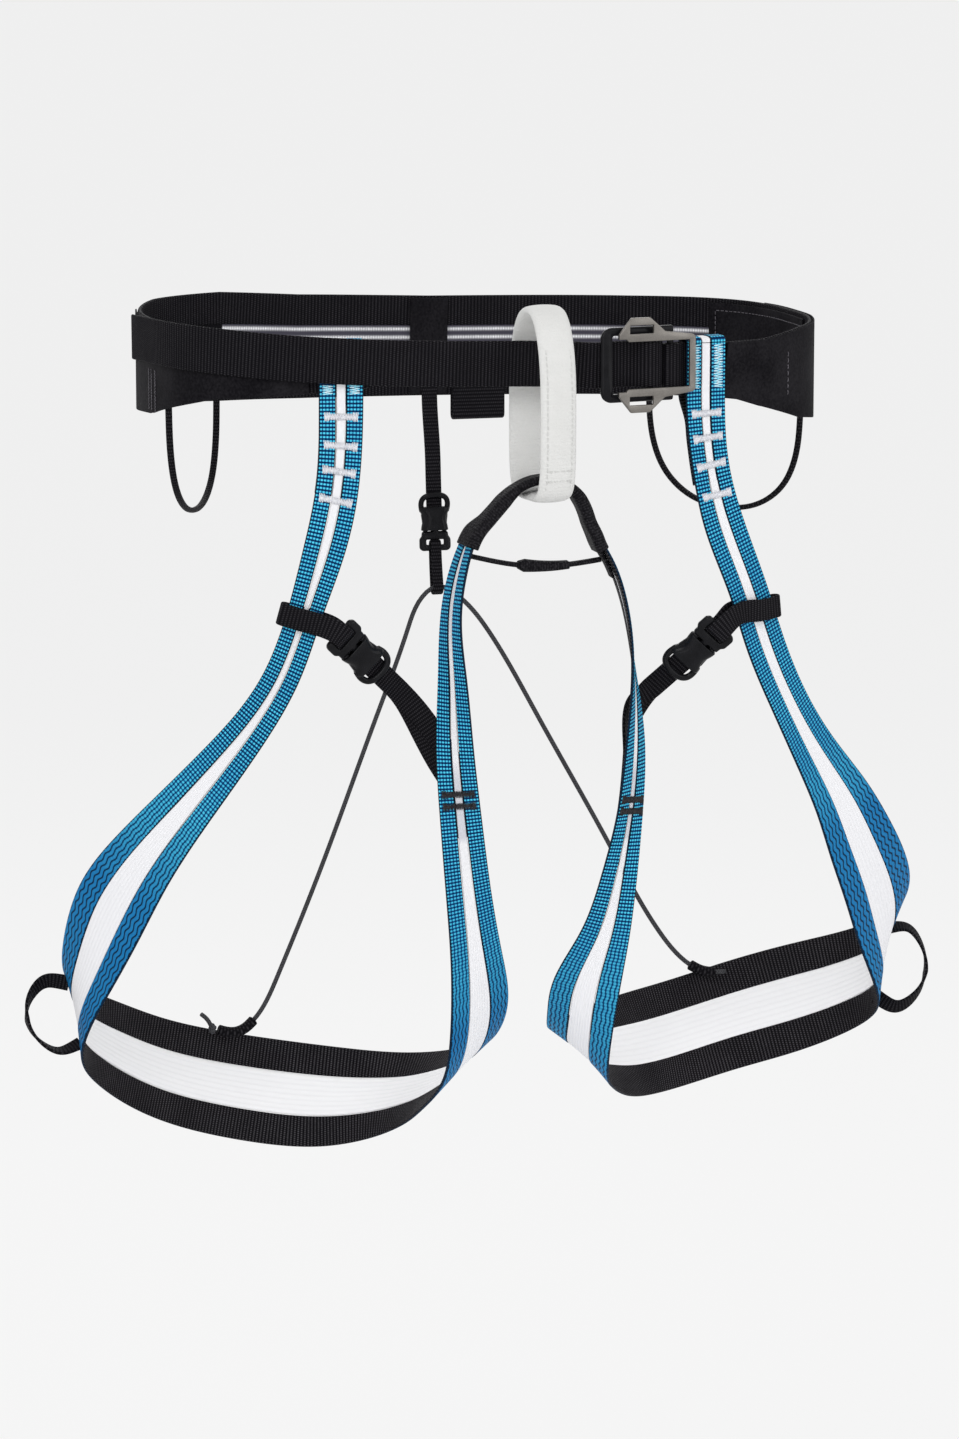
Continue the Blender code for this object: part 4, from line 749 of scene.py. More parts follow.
def place_mesh(name, mesh, material, flat_ends=0):
    """Object of a mesh with one material; its faces are smooth but for the flat ends, last in its list."""
    shading = np.ones(len(mesh.polygons), bool)
    shading[len(shading) - flat_ends:] = False
    mesh.polygons.foreach_set("use_smooth", shading)
    mesh.materials.clear()
    mesh.materials.append(material)
    mesh.update()
    obj = bpy.data.objects.new(name, mesh)
    bpy.context.scene.collection.objects.link(obj)
    return obj


def surface(name, grid, uv_across, run, closed, marks, material):
    """Mesh over a grid of rows and columns of points that closes round its columns.

    Each cell is one four-sided face; an open grid gets an end face at both ends. The map holds the place
    across and the distance along, and each mark is one number for each point.
    """
    rows, columns = grid.shape[:2]
    i = np.arange(rows if closed else rows - 1)[:, None]
    j = np.arange(columns)[None]
    after = (j + 1) % columns
    corners = [(i, j), (i, after), (i + 1, after), (i + 1, j)]
    index = np.stack([(r % rows) * columns + c for r, c in corners], axis=-1).reshape(-1, 4)
    row = np.stack([np.broadcast_to(r, (len(i), columns)) for r, c in corners], axis=-1).reshape(-1, 4)
    points = grid.reshape(-1, 3)
    a, b, c, d = (points[index[:, k]] for k in range(4))
    volume = np.sum(a * np.cross(b, c)) + np.sum(a * np.cross(c, d))
    if volume < 0:
        index, row = index[:, ::-1], row[:, ::-1]
    faces = index.tolist()
    loops, loop_rows = index.reshape(-1), row.reshape(-1)
    if not closed:
        first = np.arange(columns)
        last = first + (rows - 1) * columns
        caps = [first[::-1], last] if volume > 0 else [first, last[::-1]]
        faces += [cap.tolist() for cap in caps]
        loops = np.concatenate([loops] + caps)
        loop_rows = np.concatenate([loop_rows] + [cap // columns for cap in caps])
    mesh = bpy.data.meshes.new(name)
    mesh.from_pydata(points.tolist(), [], faces)
    uv = np.stack([np.broadcast_to(uv_across, (rows, columns)).reshape(-1)[loops], run[loop_rows]], axis=1)
    mesh.uv_layers.new(name="strap").data.foreach_set("uv", uv.astype(np.float32).reshape(-1))
    for mark, values in marks.items():
        values = np.broadcast_to(values, (rows, columns)).astype(np.float32)
        mesh.attributes.new(mark, "FLOAT", "POINT").data.foreach_set("value", values.reshape(-1))
    return place_mesh(name, mesh, material, 0 if closed else 2)


def flat_profile(faces=9, rounds=5):
    """Outline of a flat strap in shares: a straight face, a round edge, the other face, the other edge."""
    face = np.linspace(-1, 1, faces)
    turn = np.linspace(0, math.pi, rounds + 2)[1:-1]
    flat = np.concatenate([face, np.ones(rounds), face[::-1], -np.ones(rounds)])
    bulge = np.concatenate([np.zeros(faces), np.sin(turn), np.zeros(faces), -np.sin(turn)])
    out = np.concatenate([np.ones(faces), np.cos(turn), -np.ones(faces), -np.cos(turn)])
    return flat, bulge, out


def strap(name, centre, across, half_width, thickness, material, closed=False, normal=None, spread=0.0,
          ribs=None, crown=0.0, share=False, faces=9):
    """A flat strap with round edges along a middle line.

    Its profile is flat by half width less half thickness, then a half circle. Ribs, given as pitch and
    depth, thin it between one rib and the next by the square of a sine. Crown lets the edges thin.
    """
    travel = tangents(centre, closed)
    across = unit(np.broadcast_to(across, centre.shape))
    facing = unit(np.cross(travel, across))
    if normal is not None:
        facing = facing * np.sign(np.sum(facing * normal, axis=1))[:, None]
    side = unit(across - travel * np.sum(across * travel, axis=1)[:, None])
    run = run_along(np.concatenate([centre, centre[:1]]) if closed else centre)
    half = np.broadcast_to(np.asarray(thickness, float) / 2, (len(centre), 1)).copy()
    if ribs is not None:
        pitch, depth = ribs
        half -= depth * np.cos(math.pi * run[:len(centre), None] / pitch) ** 2
    wide = np.broadcast_to(half_width, (len(centre), 1))
    flat, bulge, out = flat_profile(faces)
    x = flat * (wide - half) + bulge * half
    lift = out * half * (1 - crown * (x / wide) ** 2)
    grid = centre[:, None] + side[:, None] * x[..., None] + facing[:, None] * lift[..., None]
    # Spread: the weave's spread on blue strips, the striped stretch on the belt panel, painted shade on white
    # panels
    marks = {"outside": out, "rim": wide - np.abs(x), "spread": spread}
    return surface(name, grid, x / wide / 2 + 0.5 if share else x, run, closed, marks, material)


def closed_loop(name, line, out, gap, width, thickness):
    """A flattened loop of webbing: along a line on one face, half a circle, and back on the other face."""
    reach = np.broadcast_to(gap, len(line))[:, None] + thickness / 2
    travel = tangents(line)
    across = np.cross(travel, out)
    turn = np.linspace(-math.pi / 2, math.pi / 2, LOOP_TURN_POINTS)[1:-1, None]
    far = line[-1] + reach[-1] * (travel[-1] * np.cos(turn) - out[-1] * np.sin(turn))
    near = line[0] - reach[0] * (travel[0] * np.cos(turn) - out[0] * np.sin(turn))
    centre = np.concatenate([line + out * reach, far, (line - out * reach)[::-1], near])
    sides = np.concatenate([across, np.repeat(across[-1:], len(turn), 0), across[::-1],
                            np.repeat(across[:1], len(turn), 0)])
    return strap(name, centre, sides, width / 2, thickness, finish("black"), closed=True, faces=9)


def sleeve(name, centre, across, width, thickness, wall, material):
    """A flat tube, open at both ends: an outer rounded profile that turns in at each end into its bore."""
    travel = tangents(centre)
    side = unit(np.broadcast_to(across, centre.shape))
    side = unit(side - travel * np.sum(side * travel, axis=1)[:, None])
    facing = np.cross(travel, side)
    width = np.broadcast_to(width, (len(centre), 1))
    thickness = np.broadcast_to(thickness, (len(centre), 1))
    flat, bulge, out = flat_profile(SLEEVE_FACES)

    def section(extra):
        half = thickness / 2 + extra
        x = flat * (width / 2 + extra - half) + bulge * half
        return x, centre[:, None] + side[:, None] * x[..., None] + facing[:, None] * (out * half)[..., None]

    x, outer = section(wall)
    bore = section(0.0)[1]
    lip = section(wall * SLEEVE_LIP)[1]
    ends = travel[[0, -1]] * wall * SLEEVE_LIP_REACH
    grid = np.concatenate([lip[:1] - ends[0], outer, lip[-1:] + ends[1], bore[::-1]])
    line = np.concatenate([centre[:1], centre, centre[-1:], centre[::-1], centre[:1]])
    place = np.concatenate([x[:1], x, x[-1:], x[::-1]])
    marks = {"outside": out, "rim": 1.0, "spread": 0.0}
    return surface(name, grid, place, run_along(line), True, marks, material)


def tube(name, centre, radius, material, sides=8, closed=False, helper=FORWARD):
    """A round tube: a circle carried along a line, in the plane across its travel and turned by a helper."""
    travel = tangents(centre, closed)
    side = unit(np.cross(travel, helper))
    facing = np.cross(travel, side)
    angle = np.linspace(0, FULL_TURN, sides, endpoint=False)
    ring = side[:, None] * np.cos(angle)[:, None] + facing[:, None] * np.sin(angle)[:, None]
    size = np.broadcast_to(radius, len(centre))[:, None, None]
    run = run_along(np.concatenate([centre, centre[:1]]) if closed else centre)
    marks = {"outside": np.ones(sides), "rim": 1.0, "spread": 0.0}
    return surface(name, centre[:, None] + ring * size, angle / FULL_TURN, run, closed, marks, material)


def threads(name, lines, helper, radius, material):
    """Sewing threads in one mesh: a circle carried along each line, with one face at both ends.

    Lines is an array of thread, point and place; the helper, off the threads' travel, turns the circle.
    """
    sides = THREAD_SIDES
    lines = np.asarray(lines)
    count, rows = lines.shape[:2]
    travel = unit(np.gradient(lines, axis=1))
    side = unit(np.cross(travel, helper))
    facing = np.cross(travel, side)
    angle = np.linspace(0, FULL_TURN, sides, endpoint=False)[:, None]
    ring = side[:, :, None] * np.cos(angle) + facing[:, :, None] * np.sin(angle)
    grid = lines[:, :, None] + radius * ring
    j = np.arange(sides)
    after = (j + 1) % sides
    cell = np.arange(rows - 1)[:, None] * sides
    quads = np.stack([cell + j, cell + after, cell + sides + after, cell + sides + j], axis=-1).reshape(-1, 4)
    ends = np.stack([j[::-1], j + (rows - 1) * sides])
    shift = np.arange(count)[:, None, None] * rows * sides
    faces = (quads + shift).reshape(-1, 4).tolist() + (ends + shift).reshape(-1, sides).tolist()
    mesh = bpy.data.meshes.new(name)
    mesh.from_pydata(grid.reshape(-1, 3).tolist(), [], faces)
    return place_mesh(name, mesh, material)


def zigzag(width, height, pitch):
    """Stitches that go from side to side along a width: each one's places along it and across it."""
    count = int(round(width / pitch)) * 2
    share = np.linspace(0, 1, ZIGZAG_POINTS)
    way = np.where(np.arange(count) % 2 == 0, 1.0, -1.0)[:, None]
    place = (np.arange(count)[:, None] + share) / count * width - width / 2
    return place, way * (share - 0.5) * height


def stitches(line, facing, pitch, rise):
    """Single stitches along a line: each shows for two thirds of the pitch and arches over the cloth."""
    run = run_along(line)
    count = int(run[-1] / pitch)
    at = (np.arange(count)[:, None] + np.linspace(*STITCH_SPAN, STITCH_POINTS)) * run[-1] / count
    arch = np.sin(np.linspace(0, math.pi, STITCH_POINTS)) * rise
    out = read_rows(at, run, np.broadcast_to(facing, line.shape))
    return read_rows(at, run, line) + out * arch[:, None]


def rounded_copy(node, width, material):
    """Copy of a rigid node, merged, with its sharp edges rounded by a bevel."""
    mesh = FRAME["nodes"][node].data.copy()
    work = bmesh.new()
    work.from_mesh(mesh)
    bmesh.ops.remove_doubles(work, verts=work.verts, dist=MERGE_DISTANCE)
    bmesh.ops.dissolve_limit(work, angle_limit=FLAT_ANGLE, verts=work.verts, edges=work.edges)
    sharp = [edge for edge in work.edges if len(edge.link_faces) == 2
             and edge.calc_face_angle() > BEVEL_ANGLE]
    bmesh.ops.bevel(work, geom=sharp, offset=width, segments=BEVEL_SEGMENTS, profile=0.5, affect="EDGES",
                    clamp_overlap=True)
    work.to_mesh(mesh)
    work.free()
    obj = place_mesh(node + "_shape", mesh, material)
    mesh.set_sharp_from_angle(angle=CREASE_ANGLE)
    return obj


def moulded_copy(node, frame, material):
    """Copy of a moulded node with soft edges and a barrel form.

    Small cubes are laid over the solid, their skin is smoothed, and each point's height over the buckle's
    middle is then scaled by a square law of its place across: more in the middle, less at the sides.
    """
    obj = bpy.data.objects.new(node + "_shape", FRAME["nodes"][node].data.copy())
    bpy.context.scene.collection.objects.link(obj)
    obj.modifiers.new("cubes", "REMESH").voxel_size = MOULD_VOXEL
    swell = obj.modifiers.new("swell", "DISPLACE")
    swell.strength = MOULD_SWELL
    swell.mid_level = 0.0
    soft = obj.modifiers.new("soft", "SMOOTH")
    soft.iterations = MOULD_PASSES
    mesh = bpy.data.meshes.new_from_object(obj.evaluated_get(bpy.context.evaluated_depsgraph_get()))
    obj.modifiers.clear()
    points = np.empty(len(mesh.vertices) * 3)
    mesh.vertices.foreach_get("co", points)
    points = points.reshape(-1, 3)
    local = points - frame.origin
    place = local @ frame.across / (CLIP_HALF_WIDTH * frame.scale)
    change = MOULD_CROWN[0] - MOULD_CROWN[1] * np.clip(place ** 2, 0, 1) - 1
    points += (local @ frame.out * change)[:, None] * frame.out
    mesh.vertices.foreach_set("co", points.reshape(-1))
    mesh.polygons.foreach_set("use_smooth", np.ones(len(mesh.polygons), bool))
    mesh.materials.clear()
    mesh.materials.append(material)
    mesh.update()
    obj.data = mesh
    return obj


def beside(obj, node):
    """Let a piece ride on the body of a node that another piece replaces."""
    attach(obj, NODE_BODY[node])
    return obj


def dress(obj, node):
    """Let a piece replace a node and ride on its body."""
    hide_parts(node)
    return beside(obj, node)


# Materials


class Graph:
    """Short way to place and link shader nodes."""

    def __init__(self, tree):
        self.tree = tree
        tree.nodes.clear()

    def feed(self, socket, value):
        """Link a socket to another, or set its value."""
        if isinstance(value, bpy.types.NodeSocket):
            self.tree.links.new(value, socket)
        else:
            socket.default_value = value

    def add(self, kind, values=None, **settings):
        """A node with its settings and its inputs."""
        node = self.tree.nodes.new(kind)
        for key, value in settings.items():
            setattr(node, key, value)
        for key, value in (values or {}).items():
            self.feed(node.inputs[key], value)
        return node

    def math(self, operation, *values):
        """One arithmetic step."""
        node = self.add("ShaderNodeMath", operation=operation)
        for socket, value in zip(node.inputs, values):
            self.feed(socket, value)
        return node.outputs[0]

    def times(self, first, second):
        """Product of two numbers."""
        return self.math("MULTIPLY", first, second)

    def scaled(self, value, scale, start):
        """A number times a scale, from a start."""
        return self.math("MULTIPLY_ADD", value, scale, start)

    def sine(self, value, turn=FULL_TURN):
        """Sine of a number of turns."""
        return self.math("SINE", self.times(value, turn))

    def arches(self, value, turn=HALF_TURN):
        """Absolute sine: one round arch for each count of the number."""
        return self.math("ABSOLUTE", self.sine(value, turn))

    def colour(self, factor, first, second):
        """Mix of two colours."""
        node = self.add("ShaderNodeMix", {0: factor, 6: first, 7: second}, data_type="RGBA")
        return node.outputs[2]

    def value(self, factor, first, second):
        """Mix of two numbers."""
        return self.add("ShaderNodeMix", {0: factor, 2: first, 3: second}, data_type="FLOAT").outputs[0]

    def step(self, value, low, high):
        """Smooth rise from 0 to 1 between two values."""
        node = self.add("ShaderNodeMapRange", {"Value": value, "From Min": low, "From Max": high},
                        interpolation_type="SMOOTHSTEP")
        return node.outputs["Result"]

    def mark(self, name):
        """A number that the mesh carries at each point."""
        return self.add("ShaderNodeAttribute", attribute_name=name).outputs["Fac"]

    def group(self, tree, **values):
        """A shared effect with its own values."""
        node = self.add("ShaderNodeGroup", node_tree=tree)
        for key, value in values.items():
            self.feed(node.inputs[key], value)
        return node.outputs


def new_group(name, inputs, outputs):
    """An empty shader node group that takes and gives named numbers."""
    tree = bpy.data.node_groups.new(name, "ShaderNodeTree")
    for way, labels in (("INPUT", inputs), ("OUTPUT", outputs)):
        for label in labels:
            tree.interface.new_socket(label, in_out=way, socket_type="NodeSocketFloat")
    graph = Graph(tree)
    return graph, graph.add("NodeGroupInput").outputs, graph.add("NodeGroupOutput").inputs


def checks_group():
    """Woven checks: raised dots in columns and rows, drawn out into wavy lines where webbing spreads.

    A column is the absolute sine across, a row the sine along; spread sways the columns and fades the rows.
    """
    graph, given, result = new_group("woven_checks", ("Across", "Run", "Columns", "Row", "Spread"),
                                     ("Height", "Thread", "Row"))
    rows = graph.math("DIVIDE", given["Run"], given["Row"])
    sway = graph.times(graph.sine(rows, math.pi / 2), graph.times(given["Spread"], CHECK_SWAY))
    column = graph.arches(graph.math("ADD", graph.times(given["Across"], given["Columns"]), sway))
    row = graph.scaled(graph.sine(rows), *WAVE)
    crossed = graph.value(graph.scaled(given["Spread"], *CHECK_FADE), 1.0, row)
    height = graph.times(graph.math("POWER", column, CHECK_ROUNDNESS), crossed)
    graph.feed(result["Height"], height)
    graph.feed(result["Thread"], graph.step(height, *CHECK_THREAD))
    graph.feed(result["Row"], row)
    return graph.tree


def ribs_group():
    """Ribs across a strap: absolute sine along it, broken into stitches by a finer sine across."""
    graph, given, result = new_group("cross_ribs", ("Across", "Run", "Pitch", "Stitch"), ("Height", "Thread"))
    along = graph.math("DIVIDE", given["Run"], given["Pitch"])
    rib = graph.arches(along)
    across = graph.math("DIVIDE", given["Across"], given["Stitch"])
    lean = graph.math("ADD", across, graph.times(graph.math("FLOOR", along), RIB_LEAN))
    stitch = graph.scaled(graph.sine(lean), *WAVE)
    graph.feed(result["Height"], graph.times(rib, graph.scaled(stitch, *RIB_STITCH)))
    # Thread: the sharp crests of the ribs, which black webbing paints with a highlight
    graph.feed(result["Thread"], graph.times(graph.math("POWER", rib, RIB_SHARPNESS), stitch))
    return graph.tree


def tone_group():
    """Uneven tone of cloth: two sizes of noise on the object's own coordinates, from low to high."""
    graph, given, result = new_group("cloth_tone", ("Coarse", "Fine", "Low", "High"), ("Tone", "Fuzz"))
    place = graph.add("ShaderNodeTexCoord").outputs["Object"]
    noises = [graph.add("ShaderNodeTexNoise", {"Vector": place, "Scale": given[size], "Detail": detail})
              for size, (detail, _) in (("Coarse", COARSE_NOISE), ("Fine", FINE_NOISE))]
    coarse, fine = (noise.outputs[0] for noise in noises)
    both = graph.scaled(fine, FINE_NOISE[1], graph.times(coarse, COARSE_NOISE[1]))
    graph.feed(result["Tone"], graph.value(graph.step(both, *NOISE_RANGE), given["Low"], given["High"]))
    graph.feed(result["Fuzz"], fine)
    return graph.tree


class Finishes:
    """The harness's materials."""

    def __init__(self, colours, sizes):
        self.colours = colours
        self.sizes = sizes
        self.checks = checks_group()
        self.ribs = ribs_group()
        self.tone = tone_group()

    def start(self, name, **constants):
        """A material with its Principled shader; constants go to the shader's own sockets."""
        material = bpy.data.materials.new(name)
        material.use_nodes = True
        graph = Graph(material.node_tree)
        shader = graph.add("ShaderNodeBsdfPrincipled")
        for key, value in constants.items():
            shader.inputs[key.replace("_", " ")].default_value = value
        graph.add("ShaderNodeOutputMaterial", {0: shader.outputs[0]})
        return material, graph, shader.inputs

    def strap_map(self, graph):
        """Place across and distance along, from the strap's own map."""
        node = graph.add("ShaderNodeUVMap", uv_map="strap")
        split = graph.add("ShaderNodeSeparateXYZ", {0: node.outputs[0]})
        return split.outputs[0], split.outputs[1]

    def paint(self, graph, shader, colour, height, relief):
        """Feed the shader a colour and the normal of a height, with the relief of a named finish."""
        graph.feed(shader["Base Color"], colour)
        distance, strength = RELIEFS[relief]
        bump = graph.add("ShaderNodeBump", {"Height": height, "Distance": distance, "Strength": strength})
        graph.feed(shader["Normal"], bump.outputs[0])

    def mix(self, graph, factor, first, second):
        """Mix of two colours of the property group, with full alpha."""
        return graph.colour(factor, self.tint(first), self.tint(second))

    def tint(self, name):
        """A colour of the property group, with full alpha."""
        return (*getattr(self.colours, name), 1.0)

    def uneven(self, graph, name):
        """The uneven tone of a named finish."""
        coarse, fine, low, high = TONES[name]
        return graph.group(self.tone, Coarse=coarse, Fine=fine, Low=low, High=high)

    def inside(self, graph):
        """One on the inner face of a strap."""
        return graph.math("SUBTRACT", 1.0, graph.step(graph.mark("outside"), *INSIDE))

    def black_cloth(self, graph, across, run, yarn="black_thread_and_highlight"):
        """Colour and height of black ribbed webbing, with a painted highlight on the ribs' crests."""
        ribs = graph.group(self.ribs, Across=across, Run=run, Pitch=self.sizes.rib_pitch,
                           Stitch=self.sizes.stitch_pitch)
        shine = graph.times(ribs["Thread"], self.uneven(graph, "black_webbing")["Tone"])
        return self.mix(graph, shine, "black", yarn), ribs["Height"]

    def blue_webbing(self):
        """Blue woven outside with dark, notched selvedges, black ribs inside."""
        material, graph, shader = self.start("blue_webbing", Roughness=0.55, Specular_IOR_Level=0.05)
        across, run = self.strap_map(graph)
        spread = graph.mark("spread")
        checks = graph.group(self.checks, Across=across, Run=run, Columns=self.sizes.blue_columns,
                             Row=self.sizes.blue_row, Spread=spread)
        # Painted highlight: the raised yarn turns cyan, partly its own colour and partly painted light,
        # dimmed where the webbing spreads
        raised_highlight = graph.times(checks["Thread"], self.uneven(graph, "blue_webbing")["Tone"])
        raised_highlight = graph.times(raised_highlight, graph.scaled(spread, *BLUE_SPREAD_DULL))
        # Dark between the yarns: partly the weave's own dark lines, partly painted shade in the hollows
        filled = graph.value(spread, graph.step(checks["Height"], *BLUE_FILL),
                             graph.step(checks["Height"], *BLUE_SPREAD_FILL))
        blue = graph.colour(raised_highlight, self.mix(graph, filled, "blue_deep_and_painted_shade", "blue"), self.tint("cyan_and_highlight"))
        rim = graph.scaled(checks["Row"], BLUE_RIM_NOTCH, graph.mark("rim"))
        blue = graph.colour(graph.step(rim, *BLUE_RIM), self.tint("blue_edge"), blue)
        metres = graph.times(graph.math("SUBTRACT", across, 0.5), STRIP_NOMINAL_WIDTH)
        # Inside: black ribs with a painted highlight on their crests
        black, rib_height = self.black_cloth(graph, metres, run, "inner_painted_highlight")
        outside = graph.step(graph.mark("outside"), *OUTSIDE)
        height = graph.value(outside, rib_height, checks["Height"])
        self.paint(graph, shader, graph.colour(outside, black, blue), height, "blue_webbing")
        return material

    def white_panel(self):
        """White panel, soft channels along, fine knit across; painted shade in hollows and where a strap is
        behind.
        """
        material, graph, shader = self.start("white_panel", Roughness=0.8, Specular_IOR_Level=0.2)
        across, run = self.strap_map(graph)
        arches = graph.arches(across, self.sizes.panel_channels * HALF_TURN)
        channel = graph.math("POWER", arches, CHANNEL_POWER)
        knit = graph.sine(run, FULL_TURN / PANEL_KNIT)
        tone = self.uneven(graph, "white_panel")
        # Painted shade: less of the plain white in the channels' hollows, by random tone, and where a strap
        # lies behind
        shade = graph.times(graph.scaled(channel, *CHANNEL_SHADE), tone["Tone"])
        shade = graph.times(shade, graph.scaled(graph.mark("spread"), *BACKED_SHADE))
        # Painted light: the inner face gets a brighter white so that it reads as lit
        painted_lit_white = self.mix(graph, self.inside(graph), "white", "white_inside_painted_light")
        height = graph.scaled(knit, KNIT_RELIEF, graph.math("POWER", channel, CHANNEL_RELIEF_POWER))
        colour = graph.colour(shade, self.tint("white_grey_and_painted_shade"), painted_lit_white)
        self.paint(graph, shader, colour, height, "white_panel")
        return material

    def black_webbing(self):
        """Black ribbed webbing."""
        material, graph, shader = self.start("black_webbing", Roughness=0.6, Specular_IOR_Level=0.05)
        self.paint(graph, shader, *self.black_cloth(graph, *self.strap_map(graph)), "black_webbing")
        return material

    def black_fabric(self):
        """Smooth black cloth of the covers and patches: a fine plain weave."""
        material, graph, shader = self.start("black_fabric", Roughness=0.7, Specular_IOR_Level=0.05)
        across, run = self.strap_map(graph)
        ribs = graph.group(self.ribs, Across=across, Run=run, Pitch=FABRIC_PITCH, Stitch=FABRIC_PITCH)
        tone = self.uneven(graph, "black_fabric")
        colour = self.mix(graph, tone["Tone"], "black", "black_thread_and_highlight")
        self.paint(graph, shader, colour, ribs["Height"], "black_fabric")
        return material

    def crinkled_cloth(self):
        """Textured black cloth of the bridge's sheath: small pebbled puckers over a ribbed ground."""
        material, graph, shader = self.start("crinkled_cloth", Roughness=0.55, Specular_IOR_Level=0.08)
        across, run = self.strap_map(graph)
        place = graph.add("ShaderNodeTexCoord").outputs["Object"]
        pebble = graph.add("ShaderNodeTexVoronoi", {"Vector": place, "Scale": PEBBLE_SCALE},
                           feature="SMOOTH_F1")
        pitch, stitch = SHEATH_RIBS
        ribs = graph.group(self.ribs, Across=across, Run=run, Pitch=pitch, Stitch=stitch)
        height = graph.scaled(ribs["Height"], PEBBLE_RIBS, graph.math("SUBTRACT", 1.0, pebble.outputs[0]))
        # Painted highlight on the raised puckers and rib crests
        pale = graph.times(graph.step(height, *PEBBLE_RANGE), PEBBLE_HIGHLIGHT)
        self.paint(graph, shader, self.mix(graph, pale, "black", "black_thread_and_highlight"), height, "crinkled_cloth")
        return material

    def striped_panel(self):
        """Dark panel; its inside is woven with pale lines along the striped stretch."""
        material, graph, shader = self.start("striped_panel", Roughness=0.6, Specular_IOR_Level=0.05)
        across, run = self.strap_map(graph)
        arches = graph.arches(across, self.sizes.belt_lines * HALF_TURN)
        line = graph.math("POWER", arches, STRIPE_POWER)
        dots = graph.scaled(graph.sine(run, FULL_TURN / BELT_KNIT), *STRIPE_DOTS)
        woven_line = graph.times(line, dots)
        pale = graph.times(woven_line, self.uneven(graph, "striped_panel")["Tone"])
        woven = self.mix(graph, pale, "stripe_dark", "stripe_pale")
        shown = graph.times(graph.step(graph.mark("spread"), *STRIPED_RANGE), self.inside(graph))
        colour = graph.colour(shown, self.tint("black"), woven)
        self.paint(graph, shader, colour, woven_line, "striped_panel")
        return material

    def loop_tape(self):
        """Off-white stiff tape with a soft, slightly furry face."""
        material, graph, shader = self.start("loop_tape", Roughness=0.85, Specular_IOR_Level=0.2,
                                             Sheen_Weight=0.1, Sheen_Roughness=0.6)
        across, run = self.strap_map(graph)
        pitch, stitch = TAPE_RIBS
        ribs = graph.group(self.ribs, Across=across, Run=run, Pitch=pitch, Stitch=stitch)
        tone = self.uneven(graph, "loop_tape")
        height = graph.scaled(ribs["Height"], TAPE_RIB_SHARE, tone["Fuzz"])
        self.paint(graph, shader, self.mix(graph, tone["Tone"], "loop_shade", "loop"), height, "loop_tape")
        return material

    def cord(self):
        """Dark grey braid: two sets of yarns that wind round the cord against each other."""
        material, graph, shader = self.start("cord", Roughness=0.7, Specular_IOR_Level=0.2)
        around, run = self.strap_map(graph)
        yarns = graph.times(around, BRAID_YARNS)
        turns = graph.times(graph.math("DIVIDE", run, BRAID_PITCH), BRAID_YARNS)
        lays = [graph.sine(graph.math(way, yarns, turns)) for way in ("ADD", "SUBTRACT")]
        braid = graph.math("MAXIMUM", *lays)
        # Painted highlight on the crests of the braid's yarns
        pale = graph.times(graph.step(braid, *BRAID_RANGE), self.uneven(graph, "cord")["Tone"])
        self.paint(graph, shader, self.mix(graph, pale, "cord", "cord_painted_highlight"), braid, "cord")
        return material

    def grained(self, name, kind, tints, roughness=None, **constants):
        """A solid with a fine grain, whose tone and roughness wander between two values."""
        material, graph, shader = self.start(name, **constants)
        tone = self.uneven(graph, kind)
        if roughness:
            graph.feed(shader["Roughness"], graph.value(tone["Tone"], *roughness))
        self.paint(graph, shader, self.mix(graph, tone["Tone"], *tints), tone["Fuzz"], kind)
        return material

    def silver(self):
        """Satin grey metal, blasted, a little brighter where it is rubbed."""
        return self.grained("silver", "silver", ("silver", "silver_rubbed"), SILVER_ROUGHNESS, Metallic=1.0)

    def plastic(self):
        """Black moulded plastic with a fine spark-eroded grain."""
        return self.grained("plastic", "plastic", ("plastic", "plastic_worn"), PLASTIC_ROUGHNESS,
                            Specular_IOR_Level=0.09)

    def thread(self, name, shade, tint):
        """Sewing thread: fine twist as noise along its own place."""
        return self.grained(name, "thread", (shade, tint), Roughness=0.6, Specular_IOR_Level=0.2)


FINISHES = {}
THREADS = {
    "white_thread": ("white_grey_and_painted_shade", "white"),
    "black_thread_and_highlight": ("black_thread_and_highlight", "black"),
    "grey_thread": ("black_thread_and_highlight", "grey_thread"),
    "pale_thread": ("white", "cyan_and_highlight"),
    "loop_thread": ("loop", "loop_shade"),
}


def finish(name):
    """A finish by name; the first call makes them all."""
    if not FINISHES:
        scene = bpy.context.scene
        made = Finishes(scene.harness_colours, scene.harness_sizes)
        FINISHES.update({
            "blue": made.blue_webbing(), "white": made.white_panel(), "black": made.black_webbing(),
            "fabric": made.black_fabric(), "crinkled": made.crinkled_cloth(), "stripes": made.striped_panel(),
            "loop": made.loop_tape(), "silver": made.silver(), "plastic": made.plastic(), "cord": made.cord(),
        })
        FINISHES.update({thread: made.thread(thread, *tints) for thread, tints in THREADS.items()})
    return FINISHES[name]


# Settings


def number_setting(name, description, default, **kind):
    """A number that a user may change."""
    return bpy.props.FloatProperty(name=name, description=description, default=default, **kind)


def fine_setting(name, description, default):
    """A small length that a user may change."""
    return number_setting(name, description, default, unit="LENGTH", precision=5)


def colour_setting(name, description, default):
    """A colour that a user may change."""
    return bpy.props.FloatVectorProperty(name=name, description=description, subtype="COLOR", size=3, min=0.0,
                                         max=1.0, default=default)


